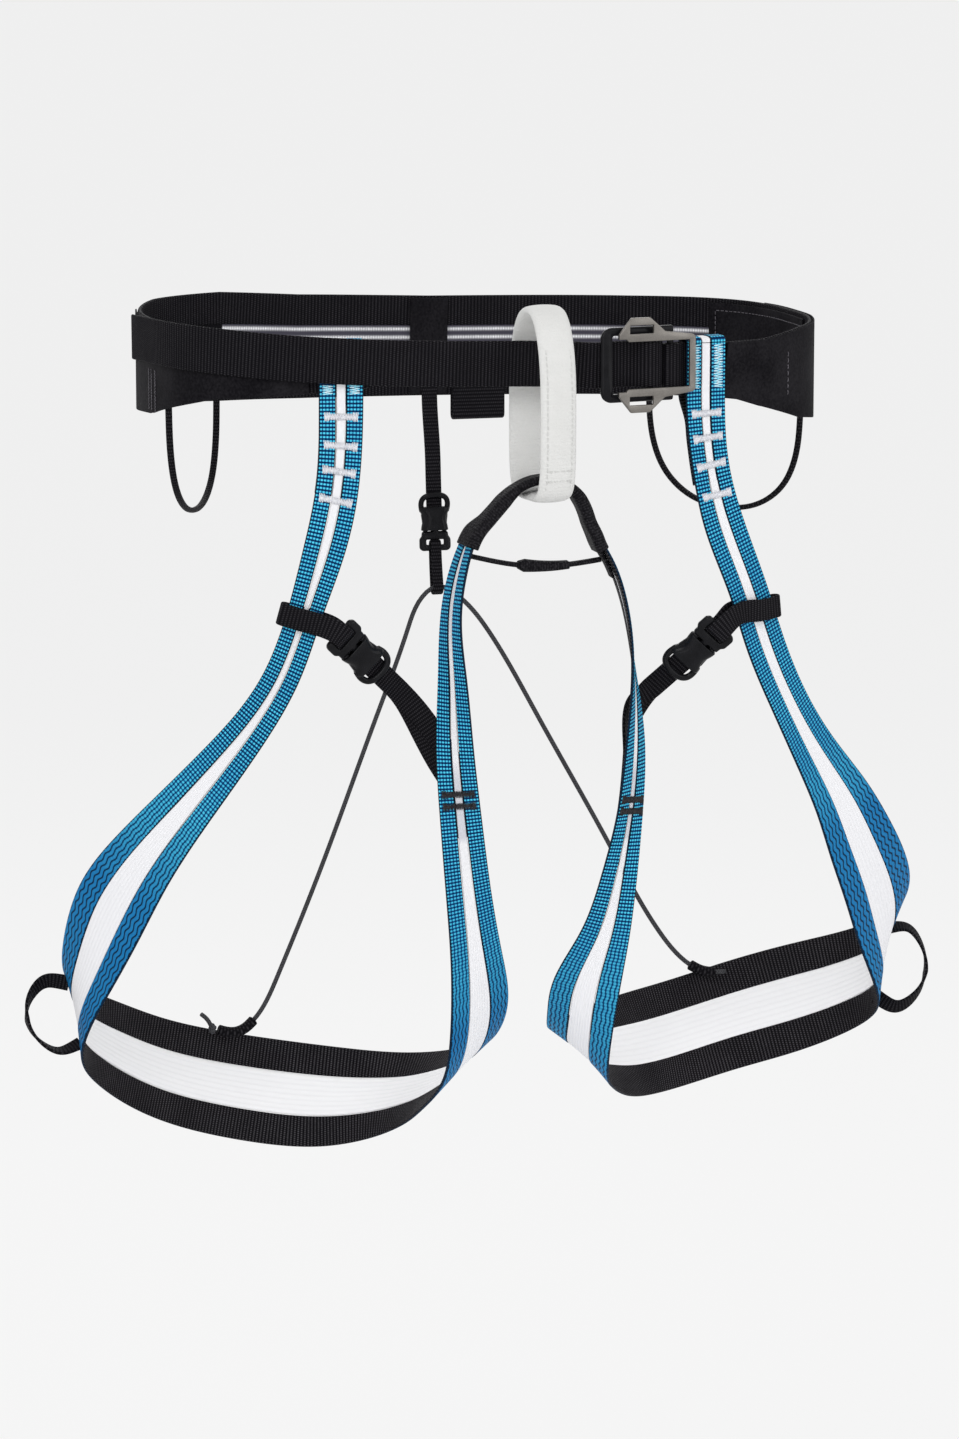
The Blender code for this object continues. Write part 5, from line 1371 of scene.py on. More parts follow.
class HarnessSizes(bpy.types.PropertyGroup):
    """Sizes of the weave and the sewing."""

    rib_pitch: fine_setting("Rib pitch", "From one rib of black webbing to the next", 0.0016)
    rib_depth: fine_setting("Rib depth", "Depth between the ribs of the waist strap", 0.00018)
    stitch_pitch: fine_setting("Yarn pitch", "From one yarn across a rib to the next", 0.0009)
    blue_columns: number_setting("Blue columns", "Warp columns across a blue strip", 5.0)
    blue_row: fine_setting("Blue row", "From one weft row of a blue strip to the next", 0.0017)
    panel_channels: number_setting("Panel channels", "Channels along a white panel", 8.0)
    belt_lines: number_setting("Belt lines", "Pale lines along the belt's panel", 5.0)
    thread_radius: fine_setting("Thread radius", "Radius of the sewing thread", 0.00022)


class HarnessColours(bpy.types.PropertyGroup):
    """Colours of the cloth, metal, plastic and cord."""

    blue: colour_setting("Blue", "Ground of the blue webbing", (0.0, 0.110, 0.37))
    # Cyan of the raised blue yarn, brightened as a painted highlight; also the pale thread's tint
    cyan_and_highlight: colour_setting("Cyan", "Raised yarn of the blue webbing", (0.10, 0.72, 0.92))
    # Dark between the blue yarns: partly the weave's dark lines, partly painted shade
    blue_deep_and_painted_shade: colour_setting("Blue hollow", "Between the yarns of the blue webbing", (0.001, 0.014, 0.050))
    blue_edge: colour_setting("Blue edge", "Selvedge of the blue webbing", (0.003, 0.016, 0.040))
    white: colour_setting("White", "White panels and white thread", (0.86, 0.86, 0.885))
    # Painted light: a brighter white for the panels' inner face, which the lamps light less
    white_inside_painted_light: colour_setting("White inside", "Inner face of the white panels", (0.97, 0.97, 0.985))
    # Painted shade in the white panels' hollows; also the grey end of the white thread's random tone
    white_grey_and_painted_shade: colour_setting("White shade", "Hollows of the white panels", (0.55, 0.56, 0.62))
    black: colour_setting("Black", "Ground of the black webbing", (0.0032, 0.0028, 0.0042))
    # Painted highlight on the raised ribs of black webbing and on the sheath's puckers; also the paler grain
    # of black cloth and thread
    black_thread_and_highlight: colour_setting("Black yarn", "Raised yarn of the black webbing", (0.042, 0.040, 0.045))
    # Painted highlight on the crests of the ribs inside the leg webbing
    inner_painted_highlight: colour_setting("Inner yarn", "Raised yarn inside the leg webbing", (0.105, 0.100, 0.110))
    grey_thread: colour_setting("Grey thread", "Seams on the black cloth", (0.16, 0.15, 0.17))
    stripe_dark: colour_setting("Stripe ground", "Between the belt panel's lines", (0.055, 0.052, 0.070))
    stripe_pale: colour_setting("Stripe line", "Pale lines of the belt's panel", (0.95, 0.95, 0.98))
    loop: colour_setting("Loop", "Belay loop", (0.70, 0.70, 0.688))
    loop_shade: colour_setting("Loop shade", "Hollows of the belay loop", (0.58, 0.58, 0.565))
    silver: colour_setting("Silver", "Waist buckle's plate", (0.175, 0.164, 0.152))
    silver_rubbed: colour_setting("Silver rubbed", "Rubbed places of the plate", (0.24, 0.226, 0.208))
    plastic: colour_setting("Plastic", "Moulded buckles", (0.005, 0.005, 0.006))
    plastic_worn: colour_setting("Plastic worn", "Paler places of the buckles", (0.012, 0.012, 0.014))
    cord: colour_setting("Cord", "Ground of the elastic cord", (0.030, 0.030, 0.033))
    # Painted highlight on the crests of the cord's braid
    cord_painted_highlight: colour_setting("Cord yarn", "Raised yarn of the elastic cord", (0.075, 0.075, 0.083))
    floor: colour_setting("Floor", "Floor and backdrop", (0.92, 0.92, 0.92))


class HarnessStage(bpy.types.PropertyGroup):
    """Camera and light."""

    azimuth: number_setting("Azimuth", "Camera's turn round the harness", math.radians(-16),
                            subtype="ANGLE")
    elevation: number_setting("Elevation", "Camera's angle above the level", math.radians(10.5),
                              subtype="ANGLE")
    distance: number_setting("Distance", "From the camera to the harness", 2.5, unit="LENGTH")
    lens: number_setting("Lens", "Focal length in millimetres", 137.6)
    floor_height: number_setting("Floor height", "Height of the floor", -0.75, unit="LENGTH")
    daylight: number_setting("Daylight", "Strength of the even light", 0.68)
    key_power: number_setting("Key power", "Power of the main lamp in watts", 22.0)


# Pieces


def seen(graph):
    """One for rays of the camera and those that mirrors and glass send on."""
    path = graph.add("ShaderNodeLightPath").outputs
    return graph.math("MAXIMUM", path["Is Camera Ray"],
                      graph.math("MAXIMUM", path["Is Glossy Ray"], path["Is Transmission Ray"]))


class HARNESS_OT_stage(bpy.types.Operator):
    """Camera, lamps, even light and floor"""

    bl_idname = "harness.stage"
    bl_label = "Stage"

    def execute(self, context):
        scene = context.scene
        stage = scene.harness_stage
        pale = (*scene.harness_colours.floor, 1.0)
        level = math.cos(stage.elevation)
        away = Vector((math.sin(stage.azimuth) * level, -math.cos(stage.azimuth) * level,
                       math.sin(stage.elevation)))
        camera = bpy.data.cameras.new("camera")
        camera.lens = stage.lens
        camera.sensor_width = SENSOR_WIDTH
        camera.clip_end = VIEW_END
        scene.camera = self.aimed(scene, "camera", camera, CAMERA_AIM + away * stage.distance)
        scene.view_settings.view_transform = "Standard"
        for name, place, size, share in LAMPS:
            lamp = bpy.data.lights.new(name, "AREA")
            lamp.size = size
            lamp.energy = stage.key_power * share
            self.aimed(scene, name, lamp, Vector(place))
        self.world(scene, stage, pale)
        self.floor(scene, stage, pale)
        return {"FINISHED"}

    def aimed(self, scene, name, data, place):
        """A camera or a lamp that looks at the harness."""
        obj = bpy.data.objects.new(name, data)
        obj.location = place
        obj.rotation_euler = (CAMERA_AIM - place).to_track_quat("-Z", "Y").to_euler()
        scene.collection.objects.link(obj)
        return obj

    def world(self, scene, stage, pale):
        """Even light, with the plain backdrop where it is seen or mirrored."""
        world = bpy.data.worlds.new("studio")
        world.use_nodes = True
        graph = Graph(world.node_tree)
        light = graph.add("ShaderNodeBackground", {"Color": (1, 1, 1, 1), "Strength": stage.daylight})
        plain = graph.add("ShaderNodeBackground", {"Color": pale, "Strength": 1.0})
        mix = graph.add("ShaderNodeMixShader", {0: seen(graph), 1: light.outputs[0], 2: plain.outputs[0]})
        graph.add("ShaderNodeOutputWorld", {0: mix.outputs[0]})
        scene.world = world

    def floor(self, scene, stage, pale):
        """A wide square at the floor's height; it keeps some shadow and else shows the backdrop's tone."""
        mesh = bpy.data.meshes.new("floor")
        corners = [(-FLOOR_EDGE, -FLOOR_EDGE), (FLOOR_EDGE, -FLOOR_EDGE), (FLOOR_EDGE, FLOOR_EDGE),
                   (-FLOOR_EDGE, FLOOR_EDGE)]
        mesh.from_pydata([(x, y, stage.floor_height) for x, y in corners], [], [(0, 1, 2, 3)])
        material = bpy.data.materials.new("floor")
        material.use_nodes = True
        graph = Graph(material.node_tree)
        matt = graph.add("ShaderNodeBsdfPrincipled", {"Base Color": pale, "Roughness": FLOOR_ROUGHNESS})
        glow = graph.add("ShaderNodeEmission", {"Color": pale, "Strength": 1.0})
        mix = graph.add("ShaderNodeMixShader", {0: graph.times(seen(graph), FLOOR_GLOW), 1: matt.outputs[0],
                                                2: glow.outputs[0]})
        graph.add("ShaderNodeOutputMaterial", {0: mix.outputs[0]})
        mesh.materials.append(material)
        floor = bpy.data.objects.new("floor", mesh)
        scene.collection.objects.link(floor)


class HARNESS_OT_cord(bpy.types.Operator):
    """Elastic cord between the legs, with its sleeves and its knot"""

    bl_idname = "harness.cord"
    bl_label = "Elastic cord"

    def execute(self, context):
        route = smooth(np.array(CORD_ROUTE) * MM, CORD_POINTS)
        cord = tube("cord_line", route, CORD_DIAMETER / 2, finish("cord"), CORD_SIDES)
        dress(cord, "elastic_cord")
        bore = CORD_DIAMETER + 2 * GAP
        plain = smooth(np.array(CORD_ROUTE) * MM, SLEEVE_ROUTE_POINTS)
        for side, part in (("left", LEFT_SLEEVE), ("right", RIGHT_SLEEVE)):
            line = smooth(plain[part], SLEEVE_POINTS)
            piece = sleeve(side + "_sleeve", line, -FORWARD, bore, bore, CORD_SLEEVE_WALL, finish("black"))
            dress(piece, side + "_cord_sleeve")
        knot, tail = self.knot(plain[0], unit(plain[1] - plain[0]))
        dress(knot, "cord_knot")
        dress(tail, "cord_knot")
        return {"FINISHED"}

    def knot(self, place, travel):
        """An overhand knot: a closed three-lobed line, tightened until its turns meet, and a tail."""
        turn = np.linspace(0, FULL_TURN, KNOT_POINTS, endpoint=False)
        ring = 2 + np.cos(3 * turn)
        size = (KNOT_DIAMETER - CORD_DIAMETER) / 6
        away = np.stack([np.zeros(len(turn)), np.cos(2 * turn), np.sin(2 * turn)], axis=1)
        local = (away * ring[:, None] + np.sin(3 * turn)[:, None] * (KNOT_LENGTH_SHARE, 0.0, 0.0)) * size
        side = unit(np.cross(travel, UP))
        frame = np.stack([travel, side, np.cross(side, travel)])
        centre = place - travel * (KNOT_DIAMETER / 2 + GAP)
        turns = tube("knot", local @ frame + centre, KNOT_CORD_RADIUS, finish("cord"), closed=True,
                     helper=away @ frame)
        end = centre + np.array(KNOT_TAIL) * MM
        bend = (centre + end) / 2 + UP * KNOT_TAIL_BEND
        line = smooth(np.array([centre, bend, end]), KNOT_TAIL_POINTS)
        return turns, tube("knot_tail", line, KNOT_CORD_RADIUS, finish("cord"))


class HARNESS_OT_belt(bpy.types.Operator):
    """Belt strips, striped panel, side covers, patches and rear tab"""

    bl_idname = "harness.belt"
    bl_label = "Waist belt"

    def execute(self, context):
        sizes = context.scene.harness_sizes
        where = np.linspace(BELT_RIGHT_END, RING.length + BELT_LEFT_END, BELT_POINTS)
        signed = np.where(where > HALF_RING, where - RING.length, where)
        level = np.zeros(len(where))
        edges = np.stack([RING.point(where, level, belt_edge(signed, 1)),
                          RING.point(where, level, belt_edge(signed, 2))], axis=1)
        belt = Band(edges, -1)
        for which, node in (("first", "belt_upper_strip"), ("second", "belt_lower_strip")):
            line, half = belt.piece(which)
            piece = strap(node + "_weave", line, belt.across, half, BELT_THICKNESS, finish("black"),
                          normal=belt.normal, ribs=(sizes.rib_pitch, sizes.rib_depth), faces=7)
            dress(piece, node)
        line, half = belt.piece("panel")
        striped = ((where > STRIPES_START) & (where < STRIPES_END)).astype(float)[:, None]
        piece = strap("belt_stripes", line, belt.across, half + 2 * GAP, PANEL_THICKNESS, finish("stripes"),
                      normal=belt.normal, spread=striped, share=True, faces=7)
        dress(piece, "belt_panel")

        cover_out = BELT_FACE + GAP + COVER_THICKNESS / 2
        patch_out = -BELT_FACE - GAP - PATCH_THICKNESS / 2
        left_end = RISER_LEFT - RISER_WIDTH / 2 - COVER_BESIDE_LEFT_RISER
        right_start = RISER_RIGHT + RISER_WIDTH / 2 + COVER_BESIDE_RIGHT_RISER
        rear_ends = (HALF_RING - REAR_PATCH_HALF_WIDTH, HALF_RING + REAR_PATCH_HALF_WIDTH)
        self.cloth("belt_cover_left", STRAP_START - COVER_PAST_STRAP, left_end, cover_out)
        self.cloth("belt_cover_right", right_start, COVER_RIGHT_END, cover_out)
        self.cloth("label_patch", *LABEL_PATCH, patch_out, LABEL_PATCH_INSET, LABEL_PATCH_SHARE)
        self.cloth("rear_patch", *rear_ends, patch_out, PATCH_INSET)
        self.tab()
        return {"FINISHED"}

    def cloth(self, node, start, end, out, inset=0.0, low=1.0):
        """Thin cloth that follows one face of the belt between its edges."""
        where = np.linspace(start, end, CLOTH_POINTS)
        top, bottom = belt_edge(where, 1), belt_edge(where, 2)
        bottom = top + (bottom - top) * low + inset
        top = top - inset
        line = RING.point(where, np.full(len(where), out), (top + bottom) / 2)
        piece = strap(node + "_cloth", line, UP, (top - bottom)[:, None] / 2, COVER_THICKNESS,
                      finish("fabric"), normal=RING.outward(where), faces=9)
        dress(piece, node)

    def tab(self):
        """Webbing folded round the belt's lower edge: two straight limbs joined by a half circle."""
        place = HALF_RING - REAR_TAB_BESIDE_MIDDLE
        outward = RING.outward(np.array(place))
        along = np.array([*RING.along(place), 0.0])
        limb = BELT_FACE + GAP + STRIP_THICKNESS / 2
        bottom = float(belt_edge(place, 2))
        low = bottom - REAR_TAB_DROP + limb
        turn = np.linspace(math.pi, FULL_TURN, TAB_TURN_POINTS)
        rise = np.linspace(bottom + REAR_TAB_LIMB, low, TAB_LIMB_POINTS)[:-1]
        out = np.concatenate([np.full(len(rise), -limb), limb * np.cos(turn), np.full(len(rise), limb)])
        height = np.concatenate([rise, low + limb * np.sin(turn), rise[::-1]])
        foot = RING.point(np.array(place), np.array(0.0), 0.0)
        line = foot + outward * out[:, None] + UP * height[:, None]
        piece = strap("rear_tab_weave", line, along, REAR_TAB_WIDTH / 2, STRIP_THICKNESS, finish("black"))
        dress(piece, "rear_tab")


class HARNESS_OT_legs(bpy.types.Operator):
    """Blue strips and white panels of both legs, and the riser ends behind them"""

    bl_idname = "harness.legs"
    bl_label = "Leg loops"

    def execute(self, context):
        for side, band, riser, seat, sign in (("left", LEFT_BAND, RISER_LEFT, LEFT_SEAT, -1),
                                              ("right", RIGHT_BAND, RISER_RIGHT, RIGHT_SEAT, 1)):
            spread = np.clip((band.strip - SPREAD_FROM) / SPREAD_RANGE, 0, 1)
            for which, node in (("first", "upper"), ("second", "lower")):
                line, half = band.piece(which)
                name = f"{side}_leg_{node}_strip"
                piece = strap(name + "_weave", line, band.across, half, STRIP_THICKNESS, finish("blue"),
                              normal=band.normal, spread=spread, share=True, faces=9)
                dress(piece, name)
            line, half = band.piece("panel")
            # Painted shade where the inner strap lies behind the panel and near the bridge, carried in the
            # spread mark
            painted_backed_shade = np.interp(band.run - band.run[-1], PANEL_PAINTED_SHADE_RUN, PANEL_PAINTED_SHADE)
            piece = strap(f"{side}_panel_knit", line, band.across, half, PANEL_THICKNESS, finish("white"),
                          normal=band.normal, spread=painted_backed_shade[:, None], share=True, faces=17)
            dress(piece, f"{side}_leg_panel")
            self.backing(side, band, riser, seat, sign)
        return {"FINISHED"}

    def backing(self, side, band, riser, seat, sign):
        """The riser's end: over the belt's top edge in a squarish arch and down behind the riser."""
        half = RISER_WIDTH / 2 * sign
        top = float(belt_edge(riser, 1)) + RISER_LIFT + GAP
        bottom = float(belt_edge(riser, 2))
        front = seat + RISER_EASE + STRIP_THICKNESS / 2
        back = seat + STRIP_THICKNESS / 2
        angle = np.linspace(0, math.pi, RISER_ARCH_POINTS)
        power = 2 / RISER_ARCH_SQUARENESS
        depth = (front - back) / 2 + (front + back) / 2 * squared(np.cos(angle), power)
        arch = RISER_ARCH_START + RISER_ARCH * np.abs(np.sin(angle)) ** power
        drop = np.linspace(top - GAP, bottom - RISER_LIFT, RISER_END_POINTS)[1:]
        out = np.concatenate([[front], depth, np.full(len(drop), -back)])
        height = np.concatenate([[top], top + arch, drop])
        rings = np.stack([RING.point(np.full(len(out), riser + half), out, height),
                          RING.point(np.full(len(out), riser - half), out, height)], axis=1)
        start = band.distance_at(bottom - RISER_BACKING_START, False)
        end = band.distance_at(RISER_BACKING_END, False)
        places = np.linspace(start, end, RISER_END_POINTS)
        shift = unit(band.read(band.normal, places)) * (STRIP_THICKNESS + GAP)
        below = np.stack([band.read(edge, places) - shift for edge in (band.first, band.second)], axis=1)
        folded = Band(smooth(np.concatenate([rings, below]), LIMB_POINTS), sign)
        node = f"{side}_riser_backing"
        for which, label, thickness, cloth in (("first", "outer", STRIP_THICKNESS, "blue"),
                                               ("second", "inner", STRIP_THICKNESS, "blue"),
                                               ("panel", "panel", PANEL_THICKNESS, "white")):
            line, half_width = folded.piece(which)
            dress(strap(f"{side}_riser_end_{label}", line, folded.across, half_width, thickness,
                        finish(cloth), normal=folded.normal, share=True, faces=9), node)


class HARNESS_OT_leg_straps(bpy.types.Operator):
    """Black straps of the leg buckles and the tape loops beside the thighs"""

    bl_idname = "harness.leg_straps"
    bl_label = "Leg straps"

    def execute(self, context):
        for side, band, clip, passing, feet in (
                ("left", LEFT_BAND, LEFT_CLIP, LEFT_STRAP_PASS, LEFT_SIDE_LOOP_FEET),
                ("right", RIGHT_BAND, RIGHT_CLIP, RIGHT_STRAP_PASS, RIGHT_SIDE_LOOP_FEET)):
            bar, far = np.array(clip) * MM
            frame = ClipFrame(bar, far)
            dress(self.tie(side, band, frame), f"{side}_leg_strap_loop")
            node = f"{side}_leg_strap_inner"
            dress(self.inner(f"{side}_strap_tail", band, frame, passing, 0.0), node)
            under = self.inner(f"{side}_strap_return", band, frame, passing - STRAP_FAN_DROP, STRAP_FAN_DROP)
            beside(under, node)
            dress(self.side_loop(side, band, feet), f"{side}_leg_side_loop")
        return {"FINISHED"}

    def tie(self, side, band, frame):
        """Closed loop of webbing: out along one face of the riser, round its edge and back on the other."""
        crossing = band.distance_at(frame.origin[2] + STRAP_LOOP_RISE, False)
        middle, normal = band.seat(crossing, 0.0)
        across = unit(band.read(band.across, crossing))
        half = float(band.read(band.width, crossing)[0]) / 2
        places = np.array([*(frame.at(a) for a in STRAP_ROUND_BAR),
                           middle + across * (half + STRAP_LOOP_EASE), middle,
                           middle - across * (half + STRAP_FOLD_EASE)])
        facing = np.array([frame.out, frame.out, normal, normal, normal])
        read = smooth(np.concatenate([places, facing * TURN_WEIGHT], axis=1), TIE_POINTS)
        bar_gap = PLUG_BAR_THICKNESS / 2 + STRAP_BAR_EASE
        gap = np.interp(np.linspace(0, 1, TIE_POINTS), TIE_GAP_PLACES,
                        (bar_gap, STRAP_LOOP_HALF_GAP, STRAP_LOOP_HALF_GAP, bar_gap))
        return closed_loop(f"{side}_strap_tie", read[:, :3], unit(read[:, 3:]), gap, LEG_STRAP_WIDTH,
                           LEG_STRAP_THICKNESS)

    def inner(self, name, band, frame, passing, drop):
        """Strap out of the buckle's end, past the inner webbing's edge and behind it, or the limb below."""
        layer = STRAP_FAN_DEPTH if drop else 0.0
        behind = STRIP_THICKNESS / 2 + GAP + LEG_STRAP_THICKNESS / 2 + STRAP_JOIN_EASE + layer
        start = CLIP_CAVITY_END + STRAP_END_CLEAR
        straight = np.linspace(start, CLIP_END + CLIP_TRAVEL + STRAP_STRAIGHT_SPARE, STRAP_STRAIGHT_POINTS)
        places = [frame.at(a, out=-layer) for a in straight]
        facing = [frame.out] * len(places)
        distance = band.distance_at(passing, True)
        normal = unit(band.read(band.normal, distance))
        places.append(band.read(band.second, distance) - normal * (behind + STRAP_PASS_DEPTH))
        facing.append(normal)
        for height in STRAP_JOIN_HEIGHTS:
            place, normal = band.seat(band.distance_at(height - drop, True), behind)
            places.append(place)
            facing.append(normal)
        read = smooth(np.concatenate([np.array(places), np.array(facing) * TURN_WEIGHT], axis=1), LIMB_POINTS)
        across = np.cross(read[:, 3:], tangents(read[:, :3]))
        return strap(name, read[:, :3], across, LEG_STRAP_WIDTH / 2, LEG_STRAP_THICKNESS, finish("black"),
                     faces=9)

    def side_loop(self, side, band, places):
        """Tape out of one edge strip, round in an arch and into the other edge strip."""
        widest = float(band.run[int(np.argmax(np.abs(band.first[:, 0])))])
        feet = []
        for edge, inward, place in ((band.first, 1, places[0]), (band.second, -1, places[1])):
            line = edge + inward * band.across * band.strip / 2
            feet.append(band.read(line, widest + place))
        share, height = np.array(SIDE_LOOP_SHAPE).T[:, :, None]
        out = unit(band.read(band.normal, widest + places[0]))
        points = feet[0] * (1 - share) + feet[1] * share + out * SIDE_LOOP_REACH * height
        line = smooth(points, SIDE_LOOP_POINTS)
        travel = tangents(line)
        level = unit(np.cross(feet[1] - feet[0], out))
        inward = np.cross(travel, level)
        lean = np.abs(np.linspace(-1, 1, SIDE_LOOP_POINTS))[:, None] * SIDE_LOOP_LEAN
        across = level * np.cos(lean) + inward * np.sin(lean)
        return strap(f"{side}_side_tape", line, across, SIDE_LOOP_WIDTH / 2, LEG_STRAP_THICKNESS,
                     finish("black"), faces=7)


class HARNESS_OT_waist_buckle(bpy.types.Operator):
    """Waist strap, silver plate, base plate and the webbing that ties the buckle to the belt"""

    bl_idname = "harness.waist_buckle"
    bl_label = "Waist buckle"

    def execute(self, context):
        sizes = context.scene.harness_sizes
        self.along = np.array([*RING.along(BUCKLE_HINGE), 0.0])
        self.outward = RING.outward(np.array(BUCKLE_HINGE))
        self.hinge_at = PLATE_RIGHT - PLATE_BAR / 2
        foot = RING.point(np.array(BUCKLE_HINGE), np.array(BUCKLE_OUT), BUCKLE_HEIGHT)
        self.origin = foot - self.along * self.hinge_at
        line = self.strap_line()
        piece = strap("front_strap_weave", line, UP, FRONT_STRAP_WIDTH / 2, FRONT_STRAP_THICKNESS,
                      finish("black"), ribs=(sizes.rib_pitch, sizes.rib_depth), faces=9)
        dress(piece, "front_strap")
        dress(strap("anchor_weave", self.anchor_line(), UP, ANCHOR_HALF_HEIGHT, ANCHOR_THICKNESS,
                    finish("black"), ribs=(sizes.rib_pitch, sizes.rib_depth / 2), faces=7), "buckle_anchor")
        dress(rounded_copy("waist_buckle_plate", PLATE_ROUND, finish("silver")), "waist_buckle_plate")
        dress(rounded_copy("waist_buckle_base", BASE_ROUND, finish("plastic")), "waist_buckle_base")
        return {"FINISHED"}

    def local(self, t, n, height=0.0):
        """World point from the buckle's own frame: along the strap, out of the belt, and up."""
        t, n = np.broadcast_arrays(np.asarray(t, float), np.asarray(n, float))
        return self.origin + self.along * t[..., None] + self.outward * n[..., None] + UP * height

    def levels(self):
        """Depths behind the plate's middle: the strap's crest, and the base's front and back."""
        crest = -PLATE_THICKNESS / 2 - GAP - FRONT_STRAP_THICKNESS / 2
        base_front = crest - FRONT_STRAP_THICKNESS / 2 - GAP
        return crest, base_front, base_front - BASE_THICKNESS

    def strap_line(self):
        """Round the ring, under the base's left bar, over its cross bar and back behind itself."""
        crest, base_front, base_back = self.levels()
        under = base_back - GAP - STRAP_EASE - FRONT_STRAP_THICKNESS / 2
        tail = under - FRONT_STRAP_THICKNESS - GAP
        route = smooth(np.array(FRONT_STRAP_ROUTE) * MM, STRAP_ROUTE_POINTS)
        fold = BASE_CROSS_PLACE + BASE_CROSS_BAR / 2 + STRAP_FOLD_REACH
        level = BASE_LEFT + BASE_SIDE_BAR + STRAP_BAR_CLEAR
        incoming = np.concatenate([RING.point(route[:, 0], route[:, 1], route[:, 2]),
                                   self.local([BASE_LEFT - STRAP_BAR_CLEAR, level], under)])
        high = crest + STRAP_CREST_RISE
        climb = under * (1 - STRAP_CLIMB_SHARE) + crest * STRAP_CLIMB_SHARE
        over = self.local([BASE_CROSS_PLACE - STRAP_CLIMB, BASE_CROSS_PLACE - STRAP_CREST_HALF,
                           BASE_CROSS_PLACE + STRAP_CREST_HALF, fold, fold + STRAP_FOLD_BULGE,
                           fold - STRAP_FOLD_RETURN, BASE_CROSS_PLACE - STRAP_RETURN],
                          [climb, high, high, (base_front + base_back) / 2, under, tail, tail])
        even = smooth(incoming, STRAP_EVEN_POINTS)
        inward = unit(np.cross(UP, tangents(even)))
        count = int(STRAP_TAIL_LENGTH / np.linalg.norm(even[1] - even[0]))
        returning = (even + inward * (FRONT_STRAP_THICKNESS + GAP))[::-1][:count]
        return smooth(np.concatenate([incoming, over, returning]), STRAP_POINTS)

    def anchor_line(self):
        """Along the belt's outer face, round the base's right bar with two round corners, and back inside."""
        base_front, base_back = self.levels()[1:]
        front = base_front + GAP + ANCHOR_THICKNESS / 2
        back = base_back - GAP - ANCHOR_THICKNESS / 2
        middle = (front + back) / 2
        straight = (front - back) / 2 - ANCHOR_CORNER
        bar_edge = BASE_RIGHT - BASE_END_BAR
        bar_middle = BASE_RIGHT - BASE_END_BAR / 2
        turn = np.linspace(0, math.pi / 2, ANCHOR_CORNER_POINTS)
        sin, cos = ANCHOR_CORNER * np.sin(turn), ANCHOR_CORNER * np.cos(turn)
        bar = [BASE_RIGHT, bar_middle]
        along = np.concatenate([bar, bar_edge - sin, bar_edge - cos, bar[::-1]])
        depth = np.concatenate([[front] * 2, middle + straight + cos, middle - straight - sin, [back] * 2])
        fold = self.local(along, depth, -ANCHOR_BELOW_BUCKLE)
        level = BUCKLE_HEIGHT - ANCHOR_BELOW_BUCKLE
        far = RISER_RIGHT + ANCHOR_SEAM_END
        outer = np.linspace(far, RISER_RIGHT - RISER_WIDTH / 2 + GAP, ANCHOR_SEAM_POINTS)
        inner = np.linspace(BELT_RIGHT_END - GAP, far, ANCHOR_SEAM_POINTS)
        seams = [RING.point(where, np.full(ANCHOR_SEAM_POINTS, out), level)
                 for where, out in ((outer, ANCHOR_LIMB), (inner, -ANCHOR_LIMB))]
        return smooth(np.concatenate([seams[0], fold, seams[1]]), ANCHOR_POINTS)


